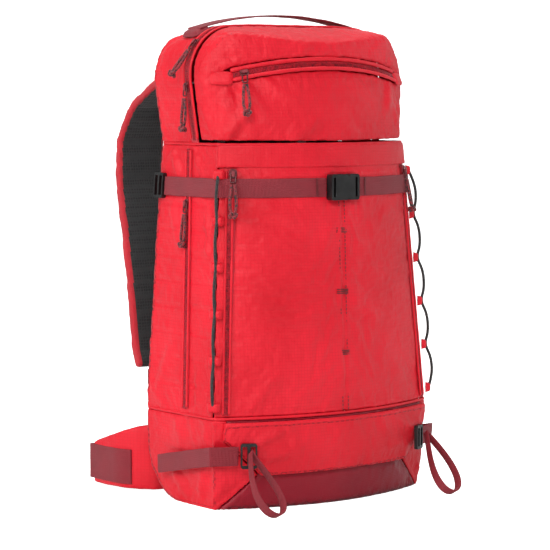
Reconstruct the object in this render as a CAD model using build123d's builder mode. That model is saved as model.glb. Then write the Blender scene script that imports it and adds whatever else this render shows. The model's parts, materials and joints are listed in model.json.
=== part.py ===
"""Ski backpack, about 25 litres, stuffed and standing on its base.

Millimetres. +X is to the right of someone who faces the pack's front, -Y is
the front, +Z is up. The origin is the middle of the flat base.
"""
import math
import os

from build123d import *

# ---- driving dimensions ----------------------------------------------------
BODY_TOP = 500.0          # crown of the body, without the haul handle
LOWER_SEAM = 96.0         # seam between the base band and the tall panels
UPPER_SEAM = 377.0        # seam under the lid
LID_BULGE_Z = 443.0       # height where the lid is widest
BACK_Y = 75.0             # outer face of the back panel
HALF_BASE = 137.0         # half widths at the four heights
HALF_LOW = 142.0
HALF_UP = 121.0
HALF_LID = 131.0
DEPTH_BASE = 116.5        # back face to the front side edges
DEPTH_LOW = 123.5
DEPTH_UP = 106.0
DEPTH_LID = 95.0
DEPTH_TOP = 84.0
CROWN_BASE = 36.0         # how far the front swells in front of its side edges
CROWN_LOW = 37.0
CROWN_UP = 44.0
CROWN_LID = 41.0
CROWN_TOP = 38.0
TOP_CORNER_R = 52.0       # top corners seen from the front
BASE_ROUND = 56.0         # rounding of the base up into the back

WALL = 3.0                # fabric with its foam and lining
PAD = 12.0                # back pad
SEAM_GAP = 0.4            # between two sewn panels
MOVE_GAP = 0.6            # between pieces that move on each other
WEB = 1.6                 # webbing thickness
STRAP_W = 20.0            # compression webbing
FLAP_DROP = 25.0          # storm flap's height

ZIP_Y = 13.0              # plane of the main zip
ZIP_W = 13.0              # visible tape width
ZIP_PROUD = 0.8           # tape stands this far out of the panel
SLIDER_LEN = 9.4
SLIDER_W = 8.0
SLIDER_H = 4.6
SLIDER_ROOM = 0.6         # left above and below a front zip's slider, together
PULL_LEN = 38.0           # cord loop of a zip pull, with its knot
PULL_D = 3.0
BAIL_WIRE = 1.6
BAIL_HALF = 2.6           # half width and length of the bail along its wire
BAIL_LEN = 9.0
BAIL_CORNER = 1.3         # the bar stays straight inside the slider's bridge
KNOT_R = 4.2

# front strap's centre below the upper seam, with the sliders between it and the storm flap
STRAP_DROP = FLAP_DROP + SLIDER_LEN + SLIDER_ROOM + STRAP_W / 2

BUCKLE_W = 38.0           # front buckle, closed
BUCKLE_H = 27.0
BUCKLE_T = 9.0

HANDLE_W = 25.0
HANDLE_Y = 34.0
HANDLE_RISE = 13.0        # arch above the crown
HANDLE_TOP = BODY_TOP + HANDLE_RISE
HANDLE_HALF = 108.0
HANDLE_CLEAR = 8.0        # room under the handle's feet for it to lean

SHOULDER_T = 10.0
HIP_T = 12.0
HIP_WEB = 38.0
LACE_D = 3.2
LOOP_W = 9.0              # gear loop webbing

FAR = 400.0               # larger than the pack, for cutting
OUTLINE_EASE = 0.5        # front outline outside the lofted sides
TOP_FALL = 5.0            # top's edge below its middle, seen from the front
SECTIONS = [              # height, half width, side depth, crown
    (0.0, HALF_BASE, DEPTH_BASE, CROWN_BASE),
    (LOWER_SEAM, HALF_LOW, DEPTH_LOW, CROWN_LOW),
    (UPPER_SEAM, HALF_UP, DEPTH_UP, CROWN_UP),
    (LID_BULGE_Z, HALF_LID, DEPTH_LID, CROWN_LID),
    (BODY_TOP + 12.0, HALF_LID + 0.5, DEPTH_TOP, CROWN_TOP),
]

os.makedirs("parts", exist_ok=True)
written = []


def save(shape, node):
    """Label a finished piece and write its file."""
    shape.label = node
    export_step(shape, f"parts/{node}.step")
    written.append(node)
    return shape


# ---- the outer shape and how it is cut ---------------------------------------
def at_height(z):
    """Half width, side depth and crown of the body at a height."""
    for low, high in zip(SECTIONS, SECTIONS[1:]):
        if z <= high[0]:
            share = (z - low[0]) / (high[0] - low[0])
            return [a + (b - a) * share for a, b in zip(low[1:], high[1:])]
    return list(SECTIONS[-1][1:])


def front_y(x, z, proud=0.0):
    """Y of the front surface at x and z, moved out by proud."""
    half, depth, crown = at_height(z)
    radius = (half * half + crown * crown) / (2 * crown)
    centre = BACK_Y - depth - crown + radius
    return centre - math.sqrt((radius + proud) ** 2 - x * x)


def side_point(y, z, proud):
    """Point on the left side face, moved out."""
    return (-at_height(z)[0] - proud, y, z)


def side_normal(z):
    """Outward direction of the left side face."""
    lean = (at_height(z + 8)[0] - at_height(z - 8)[0]) / 16
    return (-1, 0, -lean)


def envelope(inset):
    """Solid inside the stuffed pack's surface, drawn in by inset."""
    with BuildPart() as hull:
        for z, half, depth, crown in SECTIONS:
            radius = (half * half + crown * crown) / (2 * crown)
            centre = BACK_Y - depth - crown + radius
            w = half - inset
            edge = centre - math.sqrt((radius - inset) ** 2 - w * w)
            nose = centre - radius + inset
            with BuildSketch(Plane.XY.offset(z + (inset if z == 0 else 0))):
                with BuildLine():
                    back = BACK_Y - inset
                    Polyline((-w, edge), (-w, back), (w, back), (w, edge))
                    ThreePointArc((w, edge), (0, nose), (-w, edge))
                make_face()
        loft(ruled=True)
        # side view: flat base, rounded into the back, domed top
        with BuildSketch(Plane.YZ.offset(-FAR / 2)):
            with BuildLine():
                back = BACK_Y - inset
                flat_end = BACK_Y - BASE_ROUND
                turn = BASE_ROUND - inset
                slant = turn * math.sqrt(0.5)
                front_end = (-100.0, 436.0 - inset)
                back_end = (back, BODY_TOP - 14.0 - inset)
                ThreePointArc((flat_end, inset), (flat_end + slant, BASE_ROUND - slant), (back, BASE_ROUND))
                Line((back, BASE_ROUND), back_end)
                ThreePointArc(back_end, (20.0, BODY_TOP - inset), front_end)
                Polyline(front_end, (-100.0, inset), (flat_end, inset))
            make_face()
        extrude(amount=FAR, mode=Mode.INTERSECT)
        # front view: rounded top corners
        with BuildSketch(Plane.XZ.offset(-FAR / 2)):
            with BuildLine():
                side = HALF_LID + OUTLINE_EASE - inset
                top = BODY_TOP - TOP_FALL - inset
                low = LID_BULGE_Z
                Line((-side, low), (-side, top))
                ThreePointArc((-side, top), (0, BODY_TOP + 1.0 - inset), (side, top))
                Polyline((side, top), (side, low), (FAR, low), (FAR, -5), (-FAR, -5), (-FAR, low), (-side, low))
            make_face()
            corners = [v for v in vertices() if abs(v.Y - top) < 0.1 or abs(v.Z - top) < 0.1]
            fillet(corners, radius=TOP_CORNER_R - inset)
        extrude(amount=FAR, mode=Mode.INTERSECT)
    return hull.part


def block(x0, x1, y0, y1, z0, z1):
    """Plain cutting block between two corners."""
    with BuildPart() as cut:
        with BuildSketch(Plane.XY.offset(z0)):
            with Locations(((x0 + x1) / 2, (y0 + y1) / 2)):
                Rectangle(x1 - x0, y1 - y0)
        extrude(amount=z1 - z0)
    return cut.part


def front_prism(points, y0=-FAR / 2, y1=FAR / 2):
    """Prism along Y whose outline is given in X and Z."""
    with BuildPart() as prism:
        with BuildSketch(Plane.XZ.offset(-y1)):
            with BuildLine():
                Polyline(*points, close=True)
            make_face()
        extrude(amount=y1 - y0)
    return prism.part


def layer(outer, inner, keep, drop=()):
    """The skin between two envelopes, inside keep and outside each drop."""
    with BuildPart() as skin:
        add(outer)
        add(inner, mode=Mode.SUBTRACT)
        add(keep, mode=Mode.INTERSECT)
        for cut in drop:
            add(cut, mode=Mode.SUBTRACT)
    return skin.part


def pair(shape):
    """A piece and its mirror image across the pack's middle."""
    with BuildPart() as both:
        add(shape)
        mirror(about=Plane.YZ)
    return both.part


outer = envelope(0.0)
inner = envelope(WALL)
tape_top = envelope(-ZIP_PROUD)
tape_root = envelope(1.2)

# ---- back: pad, frame sheet, stays --------------------------------------------
PAD_HALF = HALF_UP - 8.0
PAD_LOW = BASE_ROUND + 2.0
PAD_HIGH = BODY_TOP - 60.0
PAD_FACE = BACK_Y + WALL  # the pad stands this far back
with BuildPart() as back_panel:
    with BuildSketch(Plane.XZ.offset(-PAD_FACE)):
        with Locations((0, (PAD_LOW + PAD_HIGH) / 2)):
            RectangleRounded(2 * PAD_HALF, PAD_HIGH - PAD_LOW, 24)
    extrude(amount=PAD)
save(back_panel.part, "back_panel")

SHEET_Y = PAD_FACE - PAD - SEAM_GAP
SHEET_T = 1.5
with BuildPart() as frame_sheet:
    with BuildSketch(Plane.XZ.offset(-SHEET_Y)):
        with Locations((0, (PAD_LOW + PAD_HIGH) / 2)):
            RectangleRounded(2 * PAD_HALF - 16, PAD_HIGH - PAD_LOW - 20, 20)
    extrude(amount=SHEET_T)
save(frame_sheet.part, "frame_sheet")

STAY_X = 55.0
STAY_W = 12.0
STAY_T = 3.0
with BuildPart() as frame_stays:
    with BuildSketch(Plane.XZ.offset(-SHEET_Y + SHEET_T + SEAM_GAP)):
        with Locations((-STAY_X, (PAD_LOW + PAD_HIGH) / 2), (STAY_X, (PAD_LOW + PAD_HIGH) / 2)):
            SlotOverall(PAD_HIGH - PAD_LOW - 40, STAY_W, rotation=90)
    extrude(amount=STAY_T)
save(frame_stays.part, "frame_stays")

# ---- sewn panels ---------------------------------------------------------------
back_cut = block(-PAD_HALF - SEAM_GAP, PAD_HALF + SEAM_GAP, BACK_Y - PAD, FAR,
                 PAD_LOW - SEAM_GAP, PAD_HIGH + SEAM_GAP)
mid_low, mid_high = LOWER_SEAM, UPPER_SEAM - SEAM_GAP

with BuildPart() as front_cut:
    # everything in front of the leaning side edges, between the two seams
    with BuildSketch(Plane.YZ.offset(-FAR / 2)):
        with BuildLine():
            low_y = BACK_Y - DEPTH_LOW + 4.0
            high_y = BACK_Y - DEPTH_UP + 4.0
            Polyline((low_y, mid_low), (high_y, mid_high), (-FAR / 2, mid_high), (-FAR / 2, mid_low), close=True)
        make_face()
    extrude(amount=FAR)
front_region = front_cut.part
front_panel = layer(outer, inner, front_region)
save(front_panel, "front_panel")

side_block = block(-FAR / 2, -60, -FAR / 2, FAR / 2, mid_low, mid_high)
side_piece = layer(outer, inner, side_block, [front_region, back_cut])
save(side_piece, "side_panel_left")
with BuildPart() as side_right:
    add(side_piece)
    mirror(about=Plane.YZ, mode=Mode.REPLACE)
save(side_right.part, "side_panel_right")

# base tub: floor, and the front below the pocket flap
FLAP_TOP_HALF = 134.0
FLAP_TOP_Z = LOWER_SEAM - 4.0
FLAP_CORNER_Z = 74.0
FLAP_LOW_HALF = 96.0
FLAP_LOW_Z = 36.0
tub_outline = [
    (-HALF_BASE + 4, -5), (HALF_BASE - 4, -5), (HALF_BASE - 4, 1), (FLAP_LOW_HALF, FLAP_LOW_Z),
    (FLAP_TOP_HALF - 4, FLAP_CORNER_Z), (FLAP_TOP_HALF - 4, LOWER_SEAM - SEAM_GAP),
    (-FLAP_TOP_HALF + 4, LOWER_SEAM - SEAM_GAP), (-FLAP_TOP_HALF + 4, FLAP_CORNER_Z),
    (-FLAP_LOW_HALF, FLAP_LOW_Z), (-HALF_BASE + 4, 1),
]
tub_region = front_prism(tub_outline)
low_block = block(-FAR / 2, FAR / 2, -FAR / 2, FAR / 2, -5, LOWER_SEAM - SEAM_GAP)
base_panel = layer(outer, inner, tub_region, [back_cut, low_block.moved(Location((0, 0, LOWER_SEAM + 5)))])
save(base_panel, "base_panel")
lower_sides = layer(outer, inner, low_block, [tub_region, back_cut])
save(lower_sides, "lower_side_panels")

# pocket flap: a padded cover in front of the base's top half
flap_outline = [
    (-FLAP_TOP_HALF, FLAP_TOP_Z), (-FLAP_TOP_HALF, FLAP_CORNER_Z), (-FLAP_LOW_HALF, FLAP_LOW_Z),
    (FLAP_LOW_HALF, FLAP_LOW_Z), (FLAP_TOP_HALF, FLAP_CORNER_Z), (FLAP_TOP_HALF, FLAP_TOP_Z),
]
pocket_flap = layer(envelope(-6.0), envelope(-SEAM_GAP), front_prism(flap_outline, y1=BACK_Y - DEPTH_UP))
save(pocket_flap, "pocket_flap")

# ---- top: yoke behind the zip, lid in front of it --------------------------------
top_block = block(-FAR / 2, FAR / 2, -FAR / 2, FAR / 2, UPPER_SEAM, FAR * 2)
behind_zip = block(-FAR / 2, FAR / 2, ZIP_Y + ZIP_W / 2, FAR / 2, UPPER_SEAM, FAR * 2)
zip_band = block(-FAR / 2, FAR / 2, ZIP_Y - ZIP_W / 2 + MOVE_GAP, ZIP_Y + ZIP_W / 2 - SEAM_GAP / 2,
                 UPPER_SEAM, FAR * 2)
front_of_zip = block(-FAR / 2, FAR / 2, -FAR / 2, ZIP_Y - ZIP_W / 2, UPPER_SEAM + MOVE_GAP, FAR * 2)
top_yoke = layer(outer, inner, behind_zip, [back_cut])
save(top_yoke, "top_yoke")
main_zip = layer(tape_top, tape_root, zip_band)
save(main_zip, "main_zip")

# goggle pocket zip: an arc across the lid's front, tilted up to the middle
GOGGLE_HALF = 110.0
GOGGLE_END_Z = 447.0
GOGGLE_RISE = 13.0
goggle_end_y = front_y(GOGGLE_HALF, GOGGLE_END_Z)
goggle_mid_y = front_y(0.0, GOGGLE_END_Z + GOGGLE_RISE)
goggle_sag = math.hypot(goggle_end_y - goggle_mid_y, GOGGLE_RISE)
goggle_r = (GOGGLE_HALF ** 2 + goggle_sag ** 2) / (2 * goggle_sag)
goggle_tilt = math.degrees(math.atan2(GOGGLE_RISE, goggle_end_y - goggle_mid_y))
run_in = goggle_r - goggle_sag
goggle_centre = (0.0, goggle_end_y + run_in * math.cos(math.radians(goggle_tilt)),
                 GOGGLE_END_Z - run_in * math.sin(math.radians(goggle_tilt)))
goggle_plane = Plane(origin=goggle_centre, x_dir=(1, 0, 0),
                     z_dir=(0, math.sin(math.radians(goggle_tilt)), math.cos(math.radians(goggle_tilt))))


def goggle_ring(radius_in, radius_out, height, sweep):
    """Arc-shaped bar about the goggle zip's centre, opening to the front."""
    start = -90.0 - sweep / 2
    ends = [(radius * math.cos(math.radians(a)), radius * math.sin(math.radians(a)))
            for radius, a in ((radius_in, start), (radius_out, start),
                              (radius_out, start + sweep), (radius_in, start + sweep))]
    with BuildPart() as ring:
        with BuildSketch(goggle_plane.offset(-height / 2)):
            with BuildLine():
                Line(ends[0], ends[1])
                ThreePointArc(ends[1], (0, -radius_out), ends[2])
                Line(ends[2], ends[3])
                ThreePointArc(ends[3], (0, -radius_in), ends[0])
            make_face()
        extrude(amount=height)
    return ring.part


GOGGLE_SWEEP = 2 * math.degrees(math.asin(GOGGLE_HALF / goggle_r))
groove = goggle_ring(goggle_r - 0.4, goggle_r + 16.0, SLIDER_W + 5.0, GOGGLE_SWEEP + 10)
goggle_zip = goggle_ring(goggle_r - 2.4, goggle_r - 0.8, SLIDER_W + 1.0, GOGGLE_SWEEP)
groove_floor = goggle_ring(goggle_r - 3.0, goggle_r + 16.0, SLIDER_W + 2.0, GOGGLE_SWEEP + 2)
lid_shell = layer(outer, inner, front_of_zip, [groove, groove_floor])
save(lid_shell, "lid_shell")
save(goggle_zip, "goggle_zip")

# ---- storm flap over the lid seam -------------------------------------------------
flap_zone = block(-FAR / 2, FAR / 2, -FAR / 2, BACK_Y - DEPTH_UP + 4, UPPER_SEAM - FLAP_DROP, UPPER_SEAM)
storm_flap = layer(envelope(-2.4), envelope(-0.8), flap_zone)
save(storm_flap, "storm_flap")

# ---- side zip (left) and the two front zips ------------------------------------------
SIDE_ZIP_TOP_Y = 23.0
SIDE_ZIP_LOW_Y = 3.0
SIDE_ZIP_Z = (LOWER_SEAM + 6.0, UPPER_SEAM - 6.0)


def leaning_band(y_top, y_low, width, z_range):
    """Prism along X that follows a slightly leaning vertical line."""
    (z0, z1) = z_range
    with BuildPart() as band:
        with BuildSketch(Plane.YZ.offset(-FAR / 2)):
            with BuildLine():
                Polyline((y_low - width / 2, z0), (y_low + width / 2, z0), (y_top + width / 2, z1),
                         (y_top - width / 2, z1), close=True)
            make_face()
        extrude(amount=FAR / 2 - 60)
    return band.part


skin_low = envelope(-SEAM_GAP / 2)
skin_high = envelope(-1.4)
side_zip = layer(skin_high, skin_low, leaning_band(SIDE_ZIP_TOP_Y, SIDE_ZIP_LOW_Y, 12.0, SIDE_ZIP_Z))
save(side_zip, "side_zip")

FRONT_ZIP_X = 10.0        # zip's middle, in from the side edge
with BuildPart() as front_zip_zone:
    with BuildSketch(Plane.XZ.offset(-BACK_Y + DEPTH_UP)):
        with BuildLine():
            z0, z1 = LOWER_SEAM + 4.0, UPPER_SEAM - FLAP_DROP + 2.0
            x0, x1 = at_height(z0)[0] - FRONT_ZIP_X, at_height(z1)[0] - FRONT_ZIP_X
            Polyline((-x0 - 4, z0), (-x0 + 4, z0), (-x1 + 4, z1), (-x1 - 4, z1), close=True)
        make_face()
    extrude(amount=FAR / 4)
front_zip = layer(skin_high, skin_low, front_zip_zone.part, [flap_zone])
save(pair(front_zip), "front_zips")

# ---- straps round the body ---------------------------------------------------------------
STRAP_Z = UPPER_SEAM - STRAP_DROP
web_low = envelope(-2.4)
web_high = envelope(-2.4 - WEB)
strap_band = block(-FAR / 2, FAR / 2, -FAR / 2, FAR / 2, STRAP_Z - STRAP_W / 2, STRAP_Z + STRAP_W / 2)
edge_y = BACK_Y - DEPTH_UP
left_of = block(-FAR / 2, -BUCKLE_W / 2 - 1.0, -FAR / 2, edge_y - 2, 0, FAR)
right_of = block(BUCKLE_W / 2 + 1.0, FAR / 2, -FAR / 2, edge_y - 2, 0, FAR)
side_zone = block(-FAR / 2, FAR / 2, edge_y - 1.5, BACK_Y - 14.0, 0, FAR)


def in_band(shape):
    """The part of a cutting block inside the strap's height."""
    with BuildPart() as zone:
        add(strap_band)
        add(shape, mode=Mode.INTERSECT)
    return zone.part


save(layer(web_high, web_low, in_band(left_of)), "front_strap_left")
save(layer(web_high, web_low, in_band(right_of)), "front_strap_right")
save(layer(web_high, web_low, in_band(side_zone)), "side_straps")

# ladder locks at the back ends of the side straps
LOCK_L, LOCK_W, LOCK_T = 16.0, 27.0, 5.0


def lock_on_side(y, z):
    """Plane on the left side face, local x along -Y."""
    return Plane(origin=side_point(y, z, 1.0), x_dir=(0, -1, 0), z_dir=side_normal(z))


def plain_lock(plane, length=LOCK_L, width=LOCK_W, thick=LOCK_T):
    """Ladder lock frame with its two slots."""
    with BuildPart() as lock:
        with BuildSketch(plane):
            RectangleRounded(length, width, 2.5)
            with Locations((-length / 4, 0), (length / 4, 0)):
                RectangleRounded(length / 2 - 3.2, width - 6.0, 0.8, mode=Mode.SUBTRACT)
        extrude(amount=thick)
    return lock.part


side_lock = plain_lock(lock_on_side(BACK_Y - 5.5, STRAP_Z))
save(pair(side_lock), "side_ladder_locks")

# ---- front buckle ---------------------------------------------------------------------------
buckle_back = front_y(0, STRAP_Z, 1.4)
FEMALE_X = (-BUCKLE_W / 2, 4.0)
MALE_X = (4.0 + MOVE_GAP, BUCKLE_W / 2)
SOCKET_H = BUCKLE_H - 8.0
SOCKET_T = 4.4
with BuildPart() as female:
    with BuildSketch(Plane.XZ.offset(-buckle_back)):
        with Locations(((FEMALE_X[0] + FEMALE_X[1]) / 2, STRAP_Z)):
            RectangleRounded(FEMALE_X[1] - FEMALE_X[0], BUCKLE_H, 3)
    extrude(amount=BUCKLE_T)
    # socket for the prongs, open to the right, and windows for the prong tips
    with BuildSketch(Plane.YZ.offset(FEMALE_X[0] + 7)):
        with Locations((buckle_back - BUCKLE_T / 2, STRAP_Z)):
            Rectangle(SOCKET_T, SOCKET_H)
    extrude(amount=FAR, mode=Mode.SUBTRACT)
    with BuildSketch(Plane.XZ.offset(-buckle_back + BUCKLE_T / 2 - SOCKET_T / 2)):
        with Locations((-4, STRAP_Z)):
            Rectangle(11, FAR / 4)
    extrude(amount=SOCKET_T, mode=Mode.SUBTRACT)
    # webbing bar slot
    with BuildSketch(Plane.XZ.offset(-buckle_back)):
        with Locations((FEMALE_X[0] + 4.2, STRAP_Z)):
            RectangleRounded(2.6, STRAP_W + 0.8, 1)
    extrude(amount=BUCKLE_T, mode=Mode.SUBTRACT)
save(female.part, "front_buckle_female")

with BuildPart() as male:
    with BuildSketch(Plane.XZ.offset(-buckle_back + 0.4)):
        with Locations(((MALE_X[0] + MALE_X[1]) / 2, STRAP_Z)):
            RectangleRounded(MALE_X[1] - MALE_X[0], BUCKLE_H, 3)
    extrude(amount=BUCKLE_T - 1.6)
    with BuildSketch(Plane.XZ.offset(-buckle_back + 0.4)):
        with Locations((MALE_X[1] - 4.2, STRAP_Z)):
            RectangleRounded(2.6, STRAP_W + 0.8, 1)
    extrude(amount=BUCKLE_T, mode=Mode.SUBTRACT)
    # two prongs and the centre tongue
    with BuildSketch(Plane.XZ.offset(-buckle_back + BUCKLE_T / 2 - SOCKET_T / 2 + 0.4)):
        for height in (-SOCKET_H / 2 + 2.2, 0, SOCKET_H / 2 - 2.2):
            with Locations((MALE_X[0] - 7.5, STRAP_Z + height)):
                Rectangle(16, 3.0)
    extrude(amount=SOCKET_T - 0.8)
save(male.part, "front_buckle_male")

# ---- lower side straps and their ladder locks ---------------------------------------------------
LOW_Z = 58.0
LOW_LOCK_X = 117.0
LOW_FALL = 19.0           # the strap's back end is this far below its front end
LOW_BEND_Y = -50.0
LOW_END_Y = BACK_Y - 30.0
with BuildPart() as low_zone:
    with BuildSketch(Plane.YZ.offset(-FAR / 2)):
        with BuildLine():
            half_strap = STRAP_W / 2
            Polyline((-FAR / 2, LOW_Z - half_strap), (LOW_BEND_Y, LOW_Z - half_strap),
                     (LOW_END_Y, LOW_Z - LOW_FALL - half_strap), (LOW_END_Y, LOW_Z - LOW_FALL + half_strap),
                     (LOW_BEND_Y, LOW_Z + half_strap), (-FAR / 2, LOW_Z + half_strap), close=True)
        make_face()
    extrude(amount=FAR)
low_middle = block(-LOW_LOCK_X - 6, LOW_LOCK_X + 6, -FAR / 2, FAR / 2, 0, FAR)
low_straps = layer(envelope(-8.2 - WEB), envelope(-8.2), low_zone.part, [low_middle])
save(low_straps, "lower_straps")

lock_y = front_y(LOW_LOCK_X, LOW_Z, 9.5)
lock_turn = 30.0
low_lock_plane = Plane(origin=(-LOW_LOCK_X + 4, lock_y - 1.6, LOW_Z),
                       x_dir=(math.cos(math.radians(lock_turn)), -math.sin(math.radians(lock_turn)), 0),
                       z_dir=(-math.sin(math.radians(lock_turn)), -math.cos(math.radians(lock_turn)), 0))
low_lock = plain_lock(low_lock_plane, 17.0, 26.0, 4.0)
save(pair(low_lock), "lower_ladder_locks")

# ---- zip sliders and their pulls ------------------------------------------------------------------


PIVOT_OFF = 2.7            # bail's bar above the slider's underside


def slider_body(plane):
    """Zip slider: a body with its bridge, local x along the zip, z outwards."""
    with BuildPart() as slider:
        with BuildSketch(plane):
            RectangleRounded(SLIDER_LEN, SLIDER_W, 2.5)
        extrude(amount=1.6)
        with BuildSketch(plane.offset(1.6)):
            with Locations((0, 0)):
                RectangleRounded(SLIDER_LEN - 3, 3.0, 1.2)
        extrude(amount=SLIDER_H - 1.6)
        bridge_hole = Plane(origin=plane.origin + plane.z_dir * PIVOT_OFF, x_dir=plane.x_dir, z_dir=plane.y_dir)
        with BuildSketch(bridge_hole.offset(-SLIDER_W)):
            Rectangle(SLIDER_LEN - 5.0, 1.9)
        extrude(amount=2 * SLIDER_W, mode=Mode.SUBTRACT)
    return slider.part


def zip_pull(pivot, outward, down=(0, 0, -1), spread=3.2):
    """Bail ring through the bridge and the knotted cord loop below it.

    pivot is the bail's hinge point, outward the direction off the fabric.
    Returns the bail and the cord loop.
    """
    out = Vector(*outward).normalized()
    drop = Vector(*down).normalized()
    side = out.cross(drop).normalized()
    base = Vector(*pivot)

    def at(across, below, off=0.0):
        return base + side * across + drop * below + out * off

    bail_points = [at(-BAIL_HALF, 0), at(-BAIL_HALF, BAIL_LEN), at(BAIL_HALF, BAIL_LEN), at(BAIL_HALF, 0)]
    with BuildPart() as bail:
        with BuildLine() as wire:
            FilletPolyline(*bail_points, radius=BAIL_CORNER, close=True)
        with BuildSketch(Plane(origin=wire.line @ 0, z_dir=wire.line % 0)):
            Circle(BAIL_WIRE / 2)
        sweep()
    knot_z = BAIL_LEN + PULL_LEN
    with BuildPart() as cord:
        for sign in (-1, 1):
            gap = PULL_D / 2 + 0.25
            turn = [at(sign * (gap - 0.3), 11.2, 0.4), at(sign * (gap + 0.5), 18, 0.2), at(sign * spread, 27, 0),
                    at(sign * (spread + 0.3), 36, 0), at(sign * gap, knot_z - 7, 0)]
            with BuildLine() as run:
                radii = [tangent_radius(*turn[i:i + 3]) for i in range(3)]
                FilletPolyline(*turn, radius=radii)
            with BuildSketch(Plane(origin=run.line @ 0, z_dir=run.line % 0)):
                Circle(PULL_D / 2)
            sweep()
        with Locations(Plane(origin=at(0, knot_z - 3.5), z_dir=drop)):
            Sphere(KNOT_R)
    return bail.part, cord.part


def tangent_radius(before, corner, after):
    """Largest arc that two runs of a cord leave room for."""
    first = Vector(before) - Vector(corner)
    second = Vector(after) - Vector(corner)
    turn = 180.0 - first.get_angle(second)
    return 0.45 * min(first.length, second.length) / math.tan(math.radians(turn / 2))


def zip_set(name, plane, down, slider_node=None, below=0.0):
    """Slider, bail and cord of one zip, with its pull hanging along down.

    A pull that hangs across its zip starts below the slider's bridge.
    """
    if slider_node:
        save(slider_body(plane), slider_node)
    pivot = plane.origin + plane.z_dir * PIVOT_OFF + Vector(*down).normalized() * below
    bail, cord = zip_pull(tuple(pivot), tuple(plane.z_dir), down)
    save(bail, f"{name}_bail")
    save(cord, f"{name}_cord")
    print(name, "pivot", [round(v, 2) for v in pivot], "outward", [round(v, 4) for v in plane.z_dir])


SLIDE_CLEAR = ZIP_PROUD + MOVE_GAP

# main zip: the lower slider on the straight side, the upper one on the corner
LOW_SLIDE_Z = 436.0
slope = side_normal(LOW_SLIDE_Z - 20)
lower_plane = Plane(origin=side_point(ZIP_Y, LOW_SLIDE_Z, SLIDE_CLEAR), x_dir=(slope[2], 0, -slope[0]), z_dir=slope)
# the lower pull hangs a little off the cloth, which widens below it
zip_set("main_lower", lower_plane, (-0.08, 0, -1), "main_slider_lower")

UP_ANGLE = 40.0           # upper slider's place on the corner, above level
top_radius = ((HALF_LID + OUTLINE_EASE) ** 2 + (TOP_FALL + 1) ** 2) / (2 * (TOP_FALL + 1))
corner_x = -(HALF_LID + OUTLINE_EASE - TOP_CORNER_R)
corner_z = BODY_TOP + 1 - top_radius + math.sqrt((top_radius - TOP_CORNER_R) ** 2 - corner_x ** 2)
up_out = (-math.cos(math.radians(UP_ANGLE)), 0, math.sin(math.radians(UP_ANGLE)))
up_down = (-math.sin(math.radians(UP_ANGLE)), 0, -math.cos(math.radians(UP_ANGLE)))
up_r = TOP_CORNER_R + SLIDE_CLEAR
upper_plane = Plane(origin=(corner_x + up_out[0] * up_r, ZIP_Y, corner_z + up_out[2] * up_r), x_dir=up_down,
                    z_dir=up_out)
zip_set("main_upper", upper_plane, up_down, "main_slider_upper")
print("upper slider turns about", corner_x, ZIP_Y, corner_z)

# goggle zip slider near the left end of its arc
GOGGLE_REST = 25.0        # degrees from the middle of the arc
goggle_angle = math.radians(-90 - GOGGLE_REST)
in_plane = Vector(math.cos(goggle_angle), math.sin(goggle_angle), 0)
goggle_out = goggle_plane.from_local_coords(in_plane) - Vector(*goggle_centre)
goggle_origin = Vector(*goggle_centre) + goggle_out * (goggle_r - 0.8 + 0.5)
along = goggle_plane.z_dir.cross(goggle_out)
slider_plane = Plane(origin=goggle_origin, x_dir=along, z_dir=goggle_out)
goggle_down = Vector(0, 0, -1) + goggle_out * goggle_out.Z
zip_set("goggle", slider_plane, tuple(goggle_down), "goggle_slider", 2.8)
print("goggle out", goggle_out, "pull turns about", goggle_down.normalized().cross(goggle_out))
print("goggle arc centre", goggle_centre, "tilt", goggle_tilt, "sweep", GOGGLE_SWEEP)

# side zip slider just below the strap
SIDE_SLIDER_Z = STRAP_Z - STRAP_W / 2 - SLIDER_LEN / 2 - 3.0
side_share = (SIDE_SLIDER_Z - SIDE_ZIP_Z[0]) / (SIDE_ZIP_Z[1] - SIDE_ZIP_Z[0])
side_slider_y = SIDE_ZIP_LOW_Y + (SIDE_ZIP_TOP_Y - SIDE_ZIP_LOW_Y) * side_share
side_top = Vector(*side_point(SIDE_ZIP_TOP_Y, SIDE_ZIP_Z[1], 0))
side_low = Vector(*side_point(SIDE_ZIP_LOW_Y, SIDE_ZIP_Z[0], 0))
side_run = (side_low - side_top).normalized()
side_plane = Plane(origin=side_point(side_slider_y, SIDE_SLIDER_Z, 1.4 + MOVE_GAP), x_dir=side_run,
                   z_dir=side_normal(SIDE_SLIDER_Z))
zip_set("side", side_plane, (-0.1, 0, -1), "side_slider")
print("side slider runs along", side_run)

# front zip sliders between the storm flap and the strap
FRONT_SLIDER_Z = STRAP_Z + STRAP_W / 2 + SLIDER_LEN / 2 + 0.4
front_x = at_height(FRONT_SLIDER_Z)[0] - FRONT_ZIP_X
front_radius = (at_height(FRONT_SLIDER_Z)[0] ** 2 + CROWN_UP ** 2) / (2 * CROWN_UP)
front_out = (-front_x / front_radius, -math.sqrt(1 - (front_x / front_radius) ** 2), 0)
front_plane = Plane(origin=(-front_x, front_y(front_x, FRONT_SLIDER_Z, 1.4 + MOVE_GAP), FRONT_SLIDER_Z),
                    x_dir=(0, 0, -1), z_dir=front_out)
save(pair(slider_body(front_plane)), "front_sliders")
zip_set("front_left", front_plane, (front_out[0] * 0.2, front_out[1] * 0.2, -1))
mirrored = Plane(origin=(front_x, front_plane.origin.Y, FRONT_SLIDER_Z), x_dir=(0, 0, -1),
                 z_dir=(-front_out[0], front_out[1], 0))
zip_set("front_right", mirrored, (-front_out[0] * 0.2, front_out[1] * 0.2, -1))

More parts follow.
